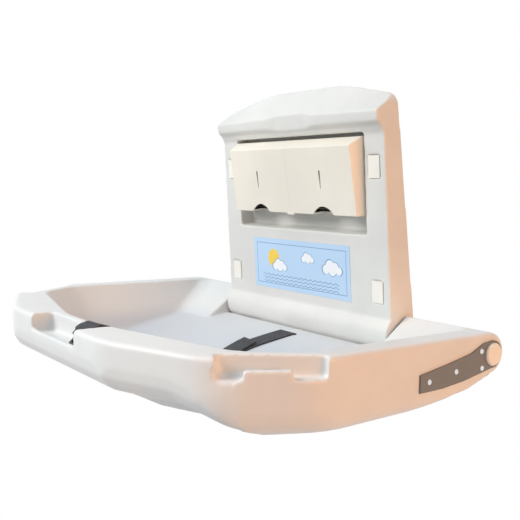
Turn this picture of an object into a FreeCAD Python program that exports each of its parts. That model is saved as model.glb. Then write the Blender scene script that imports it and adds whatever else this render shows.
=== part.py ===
import FreeCAD, Part
import math
import os

from FreeCAD import Placement, Rotation, Vector
from Sketcher import Constraint

# Baby changing station: a moulded bed that folds up against a moulded wall unit.
# Origin: on the wall face, mid-width, level with the bed's rim plane. X runs along the
# wall, -Y points into the room, Z is up. Bed pieces are drawn with the rim level, then
# turned up by the rest angle about the hinge line.

os.makedirs("parts", exist_ok=True)
doc = FreeCAD.newDocument("changing_station")

# Driving sizes, in millimetres and degrees, with what each one is
SIZES = [
    ("bed_half", 442, "half length of the bed between its side faces"),
    ("bed_front", 585, "front of the bed from the wall"),
    ("front_flat_half", 182, "half length of the straight front face"),
    ("chamfer_width", 70, "slant at a front corner, from the side face to its inner end"),
    ("chamfer_set_back", 70, "slant at a front corner, from the front face to its inner end"),
    ("side_set_back", 200, "slant at a front corner, from the front face to its outer end"),
    ("front_bend_radius", 160, "bend between the front face and the slant"),
    ("corner_radius", 120, "front corner bend"),
    ("side_bend_radius", 150, "bend between the slant and the side"),
    ("hinge_back", 35, "hinge line from the wall"),
    ("hinge_drop", 33.5, "hinge line below the rim plane"),
    ("rest_angle", 8, "angle the bed's front is raised by when it is open"),
    ("knee_from_wall", 90, "first bend of the underside, from the wall"),
    ("knee_depth", 84, "depth of the first bend of the underside"),
    ("under_depth_rear", 99, "depth of the underside plane at the wall"),
    ("under_depth_front", 115, "depth of the underside plane at the front"),
    ("under_round_rear", 12, "rounding of the lower edge at the rear"),
    ("under_round_front", 42, "rounding of the lower edge at the front"),
    ("under_round_side", 20, "inset of the side faces at the lower edge"),
    ("front_lift", 35, "how much higher the lower edge is in the middle of the front"),
    ("front_lift_set_in", 142, "where the raised lower edge starts to go down, from the side face"),
    ("front_lift_end_set_in", 7, "where the raised lower edge ends, from the side face"),
    ("front_lift_run", 130, "where the raised part runs out into the underside, from the front face"),
    ("belly_drop", 8, "how far the belly pad stands down"),
    ("belly_inset", 26, "belly pad inside the underside's edge"),
    ("rim_round", 7, "rounding of the rim's outer edge"),
    ("front_rim", 54, "rim between the basin mouth and the front face"),
    ("basin_flat_half", 62, "half length of the basin mouth's straight front"),
    ("basin_corner_set_back", 123, "basin mouth, front corner from the front face"),
    ("basin_corner_set_in", 97, "basin mouth, front corner from the side face"),
    ("basin_side_set_back", 205, "basin mouth, front end of the side from the front face"),
    ("side_rim", 44, "rim between the basin mouth and the side face"),
    ("basin_rear", 28, "basin mouth, rear from the wall"),
    ("basin_front_radius", 250, "bend at each end of the basin's straight front"),
    ("basin_corner_radius", 75, "basin front corner bend"),
    ("basin_rear_radius", 24, "basin rear corner bend"),
    ("floor_corner_radius", 30, "least corner bend of the basin at its floor"),
    ("floor_depth", 98, "basin floor below the rim"),
    ("wall_lean", 64, "inset of the basin's front and end walls at the floor"),
    ("rear_lean", 136, "inset of the basin's rear wall at the floor"),
    ("floor_blend", 18, "blend between basin walls and floor"),
    ("floor_rear_from_wall", 68, "rear edge of the floor from the wall"),
    ("floor_rear_depth", 60, "depth of the floor's rear edge"),
    ("notch_play", 2.5, "gap between the wall unit and the bed on each side"),
    ("grip_half", 88, "half width of the front hand grip"),
    ("grip_depth", 32, "depth of the hand grip's floor"),
    ("grip_reach", 39, "back wall of the hand grip from the front face"),
    ("grip_lip_rise", 5, "lip of the hand grip above its floor"),
    ("grip_lip_width", 9, "thickness of the hand grip's lip"),
    ("hook_depth", 30, "depth of a bag hook's groove"),
    ("hook_tab_drop", 17, "top of a bag hook's tab below the rim"),
    ("hook_tab_width", 13, "thickness of a bag hook's tab"),
    ("hook_inner_set_in", 98, "groove back wall, inner end from the side face"),
    ("hook_inner_set_back", 92, "groove back wall, inner end from the front face"),
    ("hook_outer_set_in", 12, "groove back wall, outer end from the side face"),
    ("hook_outer_set_back", 215, "groove back wall, outer end from the front face"),
    ("pocket_radius", 7, "inside corners of the grip and hook pockets"),
    ("shaft_radius", 8, "hinge shaft"),
    ("shaft_play", 0.05, "running clearance round the shaft"),
    ("shaft_room", 1, "clearance round the shaft where nothing runs on it"),
    ("bush_wall", 3, "wall of a hinge bush"),
    ("bush_length", 36, "length of a hinge bush"),
    ("damper_radius", 15, "body of a hinge damper"),
    ("damper_length", 52, "length of a hinge damper"),
    ("arm_thickness", 3, "steel of a hinge arm"),
    ("arm_end_radius", 22, "round end of a hinge arm"),
    ("arm_front", 201, "front end of a hinge arm from the wall"),
    ("arm_drop", 40.5, "lowest edge of a hinge arm below the hinge line"),
    ("cap_radius", 18, "hinge cap"),
    ("cap_height", 4.5, "hinge cap's height over the arm"),
    ("cap_wall", 1.6, "wall of the hinge cap"),
    ("end_screw_radius", 11, "washer head of the screw in each shaft end"),
    ("end_screw_height", 2, "height of that head"),
    ("screw_head_radius", 4.2, "head of an arm screw"),
    ("screw_head_height", 1.8, "height of an arm screw's head"),
    ("screw_shank_radius", 2.5, "shank of an arm screw"),
    ("screw_shank_length", 18, "length of an arm screw below its head"),
    ("panel_half_low", 250, "half width of the wall unit at the bottom"),
    ("panel_taper", 6, "how much nearer each side of the wall unit is at its top"),
    ("panel_front_low", 60, "front of the wall unit from the wall, at the roll"),
    ("panel_front_top", 41, "front of the wall unit from the wall, under the hood"),
    ("panel_wall", 4, "wall of the wall unit's moulding"),
    ("roll_radius", 38, "roll along the wall unit's lower edge, about the hinge line"),
    ("cove_height", 323, "underside of the hood's cove"),
    ("lip_low", 346, "lower edge of the hood's lip"),
    ("lip_high", 364, "upper edge of the hood's lip"),
    ("lip_front", 55.5, "hood's lip from the wall"),
    ("ridge_high", 415.5, "hood's ridge on the wall at mid width"),
    ("ridge_drop", 28, "how much lower the hood's ridge is at the sides"),
    ("arch_half", 110, "half distance between the bends of the hood's arch"),
    ("arch_radius", 450, "bends of the hood's arch"),
    ("lip_bow", 2, "how far the lip's upper edge bows up at mid width"),
    ("hood_corner_radius", 25, "upper corners of the wall unit"),
    ("scoop_half_out", 70, "half length of the scoop in the hood's lip"),
    ("scoop_half_in", 44, "half length of the scoop's floor"),
    ("scoop_depth", 5, "depth of the scoop in the hood's lip"),
    ("recess_set_in", 56, "side of the dispenser's recess from the wall unit's side"),
    ("recess_low", 145, "floor of the recess"),
    ("recess_high", 327, "ceiling of the recess"),
    ("recess_back", 14, "back wall of the recess from the wall"),
    ("bolt_set_in", 32, "wall bolts from the wall unit's side"),
    ("bolt_low", 44, "lower wall bolts"),
    ("bolt_high", 266, "upper wall bolts"),
    ("bolt_hole_radius", 4.5, "holes for the wall bolts"),
    ("well_width", 27, "screw cover, width"),
    ("well_height", 40, "screw cover, height"),
    ("well_wall", 2.4, "wall of a bolt well"),
    ("cover_play", 0.3, "clearance round a snapped-in cover"),
    ("cover_face", 2.2, "thickness of a screw cover's face"),
    ("cover_skirt", 9, "depth of a screw cover's skirt"),
    ("cover_proud", 0.8, "screw cover above the wall unit's face"),
    ("chassis_sheet", 2.5, "steel of the chassis"),
    ("chassis_set_in", 22, "side of the chassis from the wall unit's side"),
    ("chassis_high", 290, "top of the chassis"),
    ("chassis_low", 108, "bottom of the chassis below the rim plane"),
    ("window_set_in", 78, "side of the chassis window from the chassis's side"),
    ("window_low", 70, "bottom of the chassis window"),
    ("window_high", 240, "top of the chassis window"),
    ("ear_reach", 24, "ear of the chassis in front of the hinge line"),
    ("stop_reach", 112, "rest bracket from the wall"),
    ("stop_set_in", 28, "middle of a rest bracket from the chassis's side"),
    ("stop_width", 36, "width of a rest bracket"),
    ("pad_height", 6, "rubber rest pad, height"),
    ("pad_length", 20, "rubber rest pad, length"),
    ("cover_front_low", 64, "dispenser cover's lower front edge from the wall"),
    ("cover_front_top", 68.5, "dispenser cover's upper front edge from the wall"),
    ("hand_room", 34.5, "height of the hand's way in under the dispenser cover"),
    ("brow_drop", 13, "dispenser cover's upper front edge below its top"),
    ("cover_top_gap", 7, "gap between the cover's top and the recess's ceiling"),
    ("cover_step", 42, "where the cover's sides start to taper, from the wall"),
    ("cover_taper", 6, "how much nearer each side of the cover is at its face"),
    ("cover_side_gap", 3, "gap between the cover and each side of the recess"),
    ("cover_wall", 3, "wall of the dispenser cover"),
    ("outlet_half_x", 97, "distance of each liner outlet from mid width"),
    ("outlet_radius", 36, "round of a liner outlet"),
    ("outlet_rise", 16, "height of a liner outlet"),
    ("sight_rise", 49.5, "bottom of a sight slot above the cover's lower edge"),
    ("sight_length", 34, "height of a sight slot"),
    ("sight_wide", 4.6, "sight slot's width at the top"),
    ("sight_narrow", 1.6, "sight slot's width at the bottom"),
    ("tray_wall", 2.4, "wall of the liner tray"),
    ("tray_play", 1, "clearance of the tray inside the cover"),
    ("lift_travel", 5, "how far the cover lifts to come off its tray"),
    ("label_set_in", 101, "side of the label from the wall unit's side"),
    ("label_low", 17, "bottom of the label"),
    ("label_high", 122, "top of the label"),
    ("label_sheet", 0.5, "thickness of the label"),
    ("glue_line", 0.1, "glue under the label"),
    ("slot_play", 1.2, "clearance round a belt in its slot"),
    ("belt_width", 48, "belt webbing, width"),
    ("belt_thickness", 1.8, "belt webbing, thickness"),
    ("belt_anchor_rear", 92, "rear belt slot from the wall"),
    ("front_slot_set_back", 133, "front belt slot from the front face"),
    ("belt_tail_from_wall", 190, "free end of the belt's tail from the wall"),
    ("belt_bend_from_wall", 200, "where the belt starts to drift sideways, from the wall"),
    ("belt_bend_set_back", 200, "where the belt has drifted past the buckle socket, from the front face"),
    ("belt_shift", 58, "how far the belt has moved sideways where it crosses the crest"),
    ("crest_scoop", 5, "depth of the belt's scoop in the crest behind the grip"),
    ("anchor_bar", 3, "belt anchor bar, thickness"),
    ("anchor_width", 70, "belt anchor bar, length along the bed"),
    ("anchor_length", 10, "belt anchor bar, width"),
    ("tongue_width", 54, "buckle tongue, width at the belt"),
    ("tongue_tip", 22, "buckle tongue, width at the tip"),
    ("tongue_length", 32, "buckle tongue, length"),
    ("tongue_thickness", 4, "buckle tongue, thickness"),
    ("tongue_lean", 43.5, "angle at which the buckle tongue hangs into the grip"),
    ("latch_width", 11, "latch window in the buckle tongue, width"),
    ("latch_length", 7, "latch window in the buckle tongue, length"),
    ("socket_width", 54, "buckle socket, width"),
    ("socket_length", 46, "buckle socket, length"),
    ("socket_thickness", 11, "buckle socket, thickness"),
    ("seat_gap", 0.3, "clearance of a piece that lies on another"),
    ("overrun", 10, "how far a cutting shape runs past what it cuts"),
]

sheet = doc.addObject("Spreadsheet::Sheet", "Sizes")
for row, (alias, value, meaning) in enumerate(SIZES, start=1):
    sheet.set("A%d" % row, meaning)
    sheet.set("B%d" % row, str(value))
    sheet.setAlias("B%d" % row, alias)
doc.recompute()


class Size(float):
    """A size from the sheet that carries its formula, so that objects can be bound to it."""

    def __new__(cls, value, formula):
        number = float.__new__(cls, value)
        number.formula = formula
        return number

    def __add__(self, other):
        return joined(self, "+", other, float(self) + float(other))

    def __radd__(self, other):
        return joined(other, "+", self, float(other) + float(self))

    def __sub__(self, other):
        return joined(self, "-", other, float(self) - float(other))

    def __rsub__(self, other):
        return joined(other, "-", self, float(other) - float(self))

    def __mul__(self, other):
        return joined(self, "*", other, float(self) * float(other))

    def __rmul__(self, other):
        return joined(other, "*", self, float(other) * float(self))

    def __truediv__(self, other):
        return joined(self, "/", other, float(self) / float(other))

    def __neg__(self):
        return Size(-float(self), "(0 - %s)" % self.formula)


def formula_of(size):
    return size.formula if isinstance(size, Size) else repr(float(size))


def joined(left, sign, right, value):
    return Size(value, "(%s %s %s)" % (formula_of(left), sign, formula_of(right)))


class Sizes:
    """The sheet's cells by name."""


s = Sizes()
for alias, value, meaning in SIZES:
    setattr(s, alias, Size(float(sheet.get(alias)), "Sizes." + alias))

# Where the underside flattens, the belly pad ends and the floor becomes level, in shares of the reach
BREAK_SHARE = 0.3675
BELLY_FRONT_SHARE = 0.717949
FLOOR_FLAT_SHARE = 0.4957

# Places that follow the bed's length and reach
s.break_from_wall = s.bed_front * BREAK_SHARE
s.floor_flat_from_wall = s.bed_front * FLOOR_FLAT_SHARE
s.chamfer_in_x = s.bed_half - s.chamfer_width
s.chamfer_in_y = s.bed_front - s.chamfer_set_back
s.chamfer_out_y = s.bed_front - s.side_set_back
s.belly_front = s.bed_front * BELLY_FRONT_SHARE
s.front_lift_half = s.bed_half - s.front_lift_set_in
s.front_lift_end = s.bed_half - s.front_lift_end_set_in
s.basin_half = s.bed_half - s.side_rim
s.basin_front = s.bed_front - s.front_rim
s.basin_corner_x = s.bed_half - s.basin_corner_set_in
s.basin_corner_y = s.bed_front - s.basin_corner_set_back
s.basin_side_y = s.bed_front - s.basin_side_set_back
s.grip_back = s.bed_front - s.grip_reach
s.hook_in_x = s.bed_half - s.hook_inner_set_in
s.hook_in_y = s.bed_front - s.hook_inner_set_back
s.hook_out_x = s.bed_half - s.hook_outer_set_in
s.hook_out_y = s.bed_front - s.hook_outer_set_back
s.belt_anchor_front = s.bed_front - s.front_slot_set_back
s.belt_bend_to_wall = s.bed_front - s.belt_bend_set_back

# Places that follow the wall unit's width
s.notch_half = s.panel_half_low + s.notch_play
s.panel_half_top = s.panel_half_low - s.panel_taper
s.bolt_half_x = s.panel_half_low - s.bolt_set_in
s.chassis_half = s.panel_half_low - s.chassis_set_in
s.window_half = s.chassis_half - s.window_set_in
s.stop_middle = s.chassis_half - s.stop_set_in
s.recess_half = s.panel_half_low - s.recess_set_in
s.cover_half_back = s.recess_half - s.cover_side_gap
s.cover_half_front = s.cover_half_back - s.cover_taper
s.label_half = s.panel_half_low - s.label_set_in

# Heights that follow the hood's ridge and the recess
s.ridge_side = s.ridge_high - s.ridge_drop
s.cover_low = s.recess_low + s.hand_room
s.cover_top = s.recess_high - s.cover_top_gap
s.cover_brow = s.cover_top - s.brow_drop
s.sight_low = s.cover_low + s.sight_rise
s.sight_high = s.sight_low + s.sight_length


# Small tools for outlines, sketches and bound objects

def rounded_wire(points, radii, lift):
    """A closed outline with every corner rounded, begun in the middle of its last side."""
    count = len(points)
    corners = [Vector(x, y, 0) for x, y in points]
    start = lift((corners[-1] + corners[0]) / 2)
    edges = []
    reached = start
    for index, here in enumerate(corners):
        to_before = (corners[index - 1] - here).normalize()
        to_after = (corners[(index + 1) % count] - here).normalize()
        half_angle = to_before.getAngle(to_after) / 2
        reach = radii[index] / math.tan(half_angle)
        middle = (to_before + to_after).normalize()
        depth = radii[index] / math.sin(half_angle) - radii[index]
        begin = lift(here + to_before * reach)
        end = lift(here + to_after * reach)
        edges.append(Part.LineSegment(reached, begin).toShape())
        edges.append(Part.Arc(begin, lift(here + middle * depth), end).toShape())
        reached = end
    edges.append(Part.LineSegment(reached, start).toShape())
    return Part.Wire(edges)


def straight_wire(points, lift):
    corners = [lift(Vector(x, y, 0)) for x, y in points]
    return Part.makePolygon(corners + corners[:1])


def inset_outline(points, insets):
    """Moves each side of an outline inwards; side i runs from point i to the next."""
    count = len(points)
    area = sum(points[i - 1][0] * points[i][1] - points[i][0] * points[i - 1][1] for i in range(count))
    turn = 1 if area > 0 else -1
    moved = []
    for index in range(count):
        x1, y1 = points[index]
        x2, y2 = points[(index + 1) % count]
        run = math.hypot(x2 - x1, y2 - y1)
        normal_x = -turn * (y2 - y1) / run
        normal_y = turn * (x2 - x1) / run
        shift = insets[index]
        moved.append((x1 + normal_x * shift, y1 + normal_y * shift, x2 - x1, y2 - y1))
    result = []
    for index in range(count):
        ax, ay, adx, ady = moved[index - 1]
        bx, by, bdx, bdy = moved[index]
        cross = adx * bdy - ady * bdx
        along = ((bx - ax) * bdy - (by - ay) * bdx) / cross
        result.append((ax + adx * along, ay + ady * along))
    return result


def both_sides(half):
    """Completes an outline that is given for +X from the front to the rear; its rear side is last."""
    return [(-x, y) for x, y in reversed(half)] + list(half)


def prism(wire, direction):
    return Part.Face(wire).extrude(direction)


def flat(height):
    return lambda point: Vector(point.x, point.y, height)


def facing_side(x):
    """Turns an outline in (distance along Y, height) into the plane across X."""
    return lambda point: Vector(x, point.x, point.y)


def facing_front(y):
    """Turns an outline in (X, height) into a plane along the wall."""
    return lambda point: Vector(point.x, y, point.y)


def solid_feature(name, shape, placement=None):
    feature = doc.addObject("Part::Feature", name)
    feature.Label = name
    feature.Shape = shape
    if placement is not None:
        feature.Placement = placement
    return feature


def bind(thing, **formulas):
    for prop, size in formulas.items():
        thing.setExpression(prop.replace("__", "."), formula_of(size))


def new_body(name, placement=None):
    body = doc.addObject("PartDesign::Body", name)
    body.Label = name
    if placement is not None:
        body.Placement = placement
    return body


def new_sketch(body, role, offset):
    """A sketch on one of the body's own origin planes, moved along the plane's normal."""
    sketch = body.newObject("Sketcher::SketchObject", "sketch")
    plane = [item for item in body.Origin.OriginFeatures if item.Role == role][0]
    sketch.AttachmentSupport = [(plane, "")]
    sketch.MapMode = "FlatFace"
    sketch.AttachmentOffset = Placement(Vector(0, 0, offset), Rotation())
    sketch.setExpression("AttachmentOffset.Base.z", formula_of(offset))
    return sketch


def draw_outline(sketch, points):
    """Draws a closed outline whose corners are bound to their sizes."""
    first = sketch.GeometryCount
    count = len(points)
    for index in range(count):
        start = Vector(points[index][0], points[index][1], 0)
        end = Vector(points[(index + 1) % count][0], points[(index + 1) % count][1], 0)
        sketch.addGeometry(Part.LineSegment(start, end), False)
    for index in range(count):
        after = first + (index + 1) % count
        sketch.addConstraint(Constraint("Coincident", first + index, 2, after, 1))
    for index, (x, y) in enumerate(points):
        for kind, size in (("DistanceX", x), ("DistanceY", y)):
            number = sketch.addConstraint(Constraint(kind, -1, 1, first + index, 1, float(size)))
            sketch.setExpression("Constraints[%d]" % number, formula_of(size))


def draw_circle(sketch, x, y, radius):
    index = sketch.addGeometry(Part.Circle(Vector(x, y, 0), Vector(0, 0, 1), radius), False)
    for kind, size in (("DistanceX", x), ("DistanceY", y)):
        number = sketch.addConstraint(Constraint(kind, -1, 1, index, 3, float(size)))
        sketch.setExpression("Constraints[%d]" % number, formula_of(size))
    number = sketch.addConstraint(Constraint("Radius", index, float(radius)))
    sketch.setExpression("Constraints[%d]" % number, formula_of(radius))


def pad(body, sketch, length, backwards=False):
    feature = body.newObject("PartDesign::Pad", "pad")
    feature.Profile = sketch
    feature.setExpression("Length", formula_of(length))
    feature.Reversed = backwards
    doc.recompute()
    return feature


def pocket(body, sketch, length, backwards=False):
    before = body.Shape.Volume
    feature = body.newObject("PartDesign::Pocket", "pocket")
    feature.Profile = sketch
    feature.setExpression("Length", formula_of(length))
    feature.Reversed = backwards
    doc.recompute()
    if body.Shape.Volume >= before:
        raise RuntimeError("a pocket in %s cuts nothing" % body.Label)
    return feature


def revolve(body, points):
    """Turns an outline in (X, radius) about the body's own X axis."""
    sketch = new_sketch(body, "XY_Plane", 0)
    draw_outline(sketch, points)
    feature = body.newObject("PartDesign::Revolution", "revolution")
    feature.Profile = sketch
    feature.ReferenceAxis = (sketch, ["H_Axis"])
    feature.Angle = 360
    doc.recompute()
    return feature


def round_edges(body, radius, wanted):
    """Rounds the edges of a body that the wanted test picks."""
    base = body.Tip
    names = ["Edge%d" % (i + 1) for i, edge in enumerate(base.Shape.Edges) if wanted(edge)]
    feature = body.newObject("PartDesign::Fillet", "rounding")
    feature.Base = (base, names)
    feature.setExpression("Radius", formula_of(radius))
    doc.recompute()
    return feature


def is_along(edge, axis):
    """True for a straight edge that runs along the axis."""
    if not isinstance(edge.Curve, (Part.Line, Part.LineSegment)):
        return False
    run = edge.Vertexes[-1].Point - edge.Vertexes[0].Point
    return abs(run.normalize().dot(axis)) > 0.999


# Places that several pieces share

pivot = Vector(0, -s.hinge_back, -s.hinge_drop)
bed_place = Placement(Vector(0, 0, 0), Rotation(Vector(-1, 0, 0), float(s.rest_angle)), pivot)
hinge_place = Placement(pivot, Rotation())
bed_hinge_place = bed_place.multiply(hinge_place)
SIDES = (("right", 1), ("left", -1))


def panel_front_at(height):
    """Distance of the wall unit's front face from the wall at a height."""
    share = (height + s.hinge_drop) / (s.cove_height + s.hinge_drop)
    return s.panel_front_low + (s.panel_front_top - s.panel_front_low) * share


lean = math.degrees(math.atan2(s.panel_front_top - s.panel_front_low, s.cove_height + s.hinge_drop))
unit_lean = Rotation(Vector(1, 0, 0), lean)


# Bed shell: one blow-moulded double-walled part with basin, rim, grip and bag hooks

def bed_outline():
    return both_sides([
        (s.front_flat_half, -s.bed_front),
        (s.chamfer_in_x, -s.chamfer_in_y),
        (s.bed_half, -s.chamfer_out_y),
        (s.bed_half, s.overrun),
    ])


def bed_radii(inset):
    """Corner radii of the bed's outline at an inset, from the front to the rear."""
    half = [s.front_bend_radius, s.corner_radius, s.side_bend_radius, s.overrun]
    return [max(radius - inset, radius / 2) for radius in half[::-1] + half]


def bed_ring(angle):
    """The lower edge's rounding at an angle, from upright at zero to level at a right angle."""
    sideways = 1 - math.cos(angle)
    upwards = 1 - math.sin(angle)
    front_inset = sideways * s.under_round_front
    side_inset = sideways * s.under_round_side
    corner_inset = (front_inset + side_inset) / 2
    half = [front_inset, corner_inset, side_inset]
    points = inset_outline(bed_outline(), half[::-1] + [front_inset] + half + [0])
    rear = upwards * s.under_round_rear - s.under_depth_rear
    front = upwards * s.under_round_front - s.under_depth_front

    def lift(point):
        return Vector(point.x, point.y, rear - (front - rear) * point.y / s.bed_front)

    return rounded_wire(points, bed_radii(corner_inset), lift)


def under_depth_at(from_wall):
    """Depth of the underside plane at a distance from the wall."""
    return s.under_depth_rear + (s.under_depth_front - s.under_depth_rear) * from_wall / s.bed_front


def floor_depth_at(from_wall):
    """Depth of the basin floor's sloping rear part at a distance from the wall."""
    rise = (s.floor_depth - s.floor_rear_depth) / (s.floor_flat_from_wall - s.floor_rear_from_wall)
    return s.floor_rear_depth + rise * (from_wall - s.floor_rear_from_wall)


ROUND_STEPS = 5
ROUND_ANGLES = [math.pi / 2 * step / (ROUND_STEPS - 1) for step in range(ROUND_STEPS)]
far_x = s.bed_half + s.overrun
far_y = s.bed_front + s.overrun
across = Vector(2 * far_x, 0, 0)


def is_level_edge(edge, height=0):
    """True for an edge that lies level at a height."""
    box = edge.BoundBox
    return max(abs(box.ZMin - height), abs(box.ZMax - height)) < s.seat_gap


RIM_ANGLES = [math.pi / 2 * step / 3 for step in range(3, -1, -1)]


def rim_ring(angle):
    """The rim's rounding at an angle, from level at a right angle to upright at zero."""
    inset = s.rim_round * (1 - math.cos(angle))
    height = -s.rim_round * (1 - math.sin(angle))
    half = [inset] * 3
    points = inset_outline(bed_outline(), half + [inset] + half + [0])
    return rounded_wire(points, bed_radii(inset), flat(height))


def half_round_end():
    """The round rear end of the bed, about the hinge line, with the rim's rounding at its ends."""
    profile = [(0, 0), (0, s.hinge_drop)]
    for angle in RIM_ANGLES:
        inset = s.rim_round * (1 - math.cos(angle))
        profile.append((s.bed_half - inset, s.hinge_drop - s.rim_round * (1 - math.sin(angle))))
    profile.append((s.bed_half, 0))
    corners = [pivot + Vector(x, 0, radius) for x, radius in profile]
    half = Part.Face(Part.makePolygon(corners + corners[:1])).revolve(pivot, Vector(1, 0, 0), 360)
    return half.fuse(half.mirror(Vector(0, 0, 0), Vector(1, 0, 0))).removeSplitter()


def bed_outside():
    """The bed before it is hollowed: a rounded tray form with a half-round rear end."""
    wires = [rim_ring(angle) for angle in RIM_ANGLES]
    wires += [bed_ring(angle) for angle in ROUND_ANGLES]
    tray = Part.makeLoft(wires, True, True)
    side_view = [
        (-s.hinge_back, s.overrun),
        (-s.hinge_back, -2 * s.hinge_drop),
        (-s.knee_from_wall, -s.knee_depth),
        (-s.break_from_wall, -under_depth_at(s.break_from_wall)),
        (-far_y, -2 * s.under_depth_front),
        (-far_y, s.overrun),
    ]
    side = prism(straight_wire(side_view, facing_side(-far_x)), across)
    return tray.common(side).fuse(half_round_end())


def outline_prism(inset, low, high):
    points = inset_outline(bed_outline(), [inset] * len(bed_outline()))
    wire = rounded_wire(points, bed_radii(inset), flat(low))
    return prism(wire, Vector(0, 0, high - low))


def edge_pocket(points, depth, lip_top, lip_width, lip_points):
    """A pocket cut in from the rim's outer edge that leaves a lip or tab along the edge."""
    radii = [s.pocket_radius, s.pocket_radius, s.pocket_radius / 2, s.pocket_radius / 2]
    hole = prism(rounded_wire(points, radii, flat(-depth)), Vector(0, 0, depth + s.overrun))
    rise = Vector(0, 0, lip_top + depth + s.overrun)
    band = prism(straight_wire(lip_points, flat(-depth - s.overrun)), rise)
    lip = band.cut(outline_prism(lip_width, -depth - 2 * s.overrun, s.overrun))
    return hole.cut(lip)


def grip_pocket():
    """The hand grip in the middle of the front edge, with a low lip along its front."""
    half = s.grip_half
    points = [(-half, -s.grip_back), (half, -s.grip_back), (half, -far_y), (-half, -far_y)]
    wide = half + s.overrun
    lip = [(-wide, -s.grip_back), (wide, -s.grip_back), (wide, -far_y), (-wide, -far_y)]
    return edge_pocket(points, s.grip_depth, s.grip_lip_rise - s.grip_depth, s.grip_lip_width, lip)


HOOK_TAB_SHARES = (0.25, 0.69)


def hook_pocket(side):
    """A bag hook at one front corner: a groove behind an upstanding tab."""
    inner = Vector(s.hook_in_x, -s.hook_in_y, 0)
    outer = Vector(s.hook_out_x, -s.hook_out_y, 0)
    along = outer - inner
    out = Vector(along.y, -along.x, 0)

    def spot(share, outwards):
        point = inner + along * share + out * outwards
        return (side * point.x, point.y)

    low, high = HOOK_TAB_SHARES
    points = [spot(0, 0), spot(1, 0), spot(1, 1), spot(0, 1)]
    tab = [spot(low, 0), spot(high, 0), spot(high, 1), spot(low, 1)]
    return edge_pocket(points, s.hook_depth, -s.hook_tab_drop, s.hook_tab_width, tab)


def basin_mouth():
    return both_sides([
        (s.basin_flat_half, -s.basin_front),
        (s.basin_corner_x, -s.basin_corner_y),
        (s.basin_half, -s.basin_side_y),
        (s.basin_half, -s.basin_rear),
    ])


def basin_wire(inset, rear_inset, height):
    half = [inset] * 3
    points = inset_outline(basin_mouth(), half + [inset] + half + [rear_inset])
    bends = [s.basin_front_radius, s.basin_corner_radius, s.basin_corner_radius, s.basin_rear_radius]
    least = s.floor_corner_radius if inset > 0 else s.overrun
    radii = [max(radius - inset, least) for radius in bends[::-1] + bends]
    return rounded_wire(points, radii, flat(height))


def basin():
    """The space of the basin, with its floor running back to the wall unit."""
    grow = s.overrun / s.floor_depth
    top = basin_wire(-s.wall_lean * grow, -s.rear_lean * grow, s.overrun)
    lean = math.atan2(s.floor_depth, s.wall_lean)
    tangent = s.floor_blend * math.tan(lean / 2)
    wires = [top]
    for angle in (lean, lean / 2, 0):
        inset = s.wall_lean + tangent - s.floor_blend * math.sin(angle)
        depth = s.floor_depth - s.floor_blend * (1 - math.cos(angle))
        rear_inset = inset + (s.rear_lean - s.wall_lean) * depth / s.floor_depth
        wires.append(basin_wire(inset, rear_inset, -depth))
    bowl = Part.makeLoft(wires, True, True)
    half = s.notch_half
    rear = -s.floor_flat_from_wall
    channel_view = [(-half, s.overrun), (half, s.overrun), (half, rear), (-half, rear)]
    channel_wire = straight_wire(channel_view, flat(-s.floor_depth))
    channel = prism(channel_wire, Vector(0, 0, s.floor_depth + s.overrun))
    over_floor = [
        (s.overrun, -floor_depth_at(-s.overrun)),
        (rear, -s.floor_depth),
        (-far_y, -s.floor_depth),
        (-far_y, 2 * s.overrun),
        (s.overrun, 2 * s.overrun),
    ]
    space = prism(straight_wire(over_floor, facing_side(-far_x)), across)
    return bowl.fuse(channel).common(space)


def notch():
    """The gap at the rear in which the wall unit stands."""
    corner = Vector(-s.notch_half, -s.floor_rear_from_wall, -s.under_depth_front - s.overrun)
    depth = s.under_depth_front + 2 * s.overrun
    return Part.makeBox(2 * s.notch_half, s.floor_rear_from_wall + s.overrun, depth, corner)


def front_at(x):
    """Distance from the wall to the front at a place along it, on the slant too."""
    slope = (s.bed_front - s.chamfer_in_y) / (s.chamfer_in_x - s.front_flat_half)
    return s.bed_front - max(0, abs(x) - s.front_flat_half) * slope

def front_lift():
    """What is cut away under the front, where the rounded lower edge is higher."""
    ends = [(s.front_lift_end, 0), (s.front_lift_half, s.front_lift), (s.front_flat_half, s.front_lift)]
    wires = []
    for x, rise in ends + [(-x, rise) for x, rise in ends[::-1]]:
        front = -front_at(x)
        high = rise - s.under_depth_front
        low = -2 * s.under_depth_front
        view = [(front - s.overrun, low), (front - s.overrun, high + s.under_round_front)]
        for angle in ROUND_ANGLES:
            inset = s.under_round_front * (1 - math.cos(angle))
            view.append((front + inset, high + s.under_round_front * (1 - math.sin(angle))))
        rear = front + s.front_lift_run
        view += [(rear, -s.under_depth_front - s.overrun), (rear, low)]
        wires.append(straight_wire(view, facing_side(x)))
    return Part.makeLoft(wires, True, True)

def belly():
    """The shallow pad that stands down under the bed."""
    view = both_sides([
        (s.front_flat_half, -s.belly_front),
        (s.chamfer_in_x - s.belly_inset, -s.belly_front + s.belly_inset),
        (s.bed_half - s.belly_inset, -s.belly_front + 2 * s.belly_inset),
        (s.bed_half - s.belly_inset, -s.break_from_wall - s.overrun),
    ])
    half = [s.corner_radius, s.corner_radius / 2, s.corner_radius / 2, s.belly_inset]

    def lift(down):
        return lambda point: Vector(point.x, point.y, -under_depth_at(-point.y) - down)

    inner = inset_outline(view, [s.belly_drop] * len(view))
    wide = rounded_wire(view, half[::-1] + half, lift(-s.belly_drop))
    narrow = rounded_wire(inner, half[::-1] + half, lift(s.belly_drop))
    return Part.makeLoft([wide, narrow], True, True)


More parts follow.
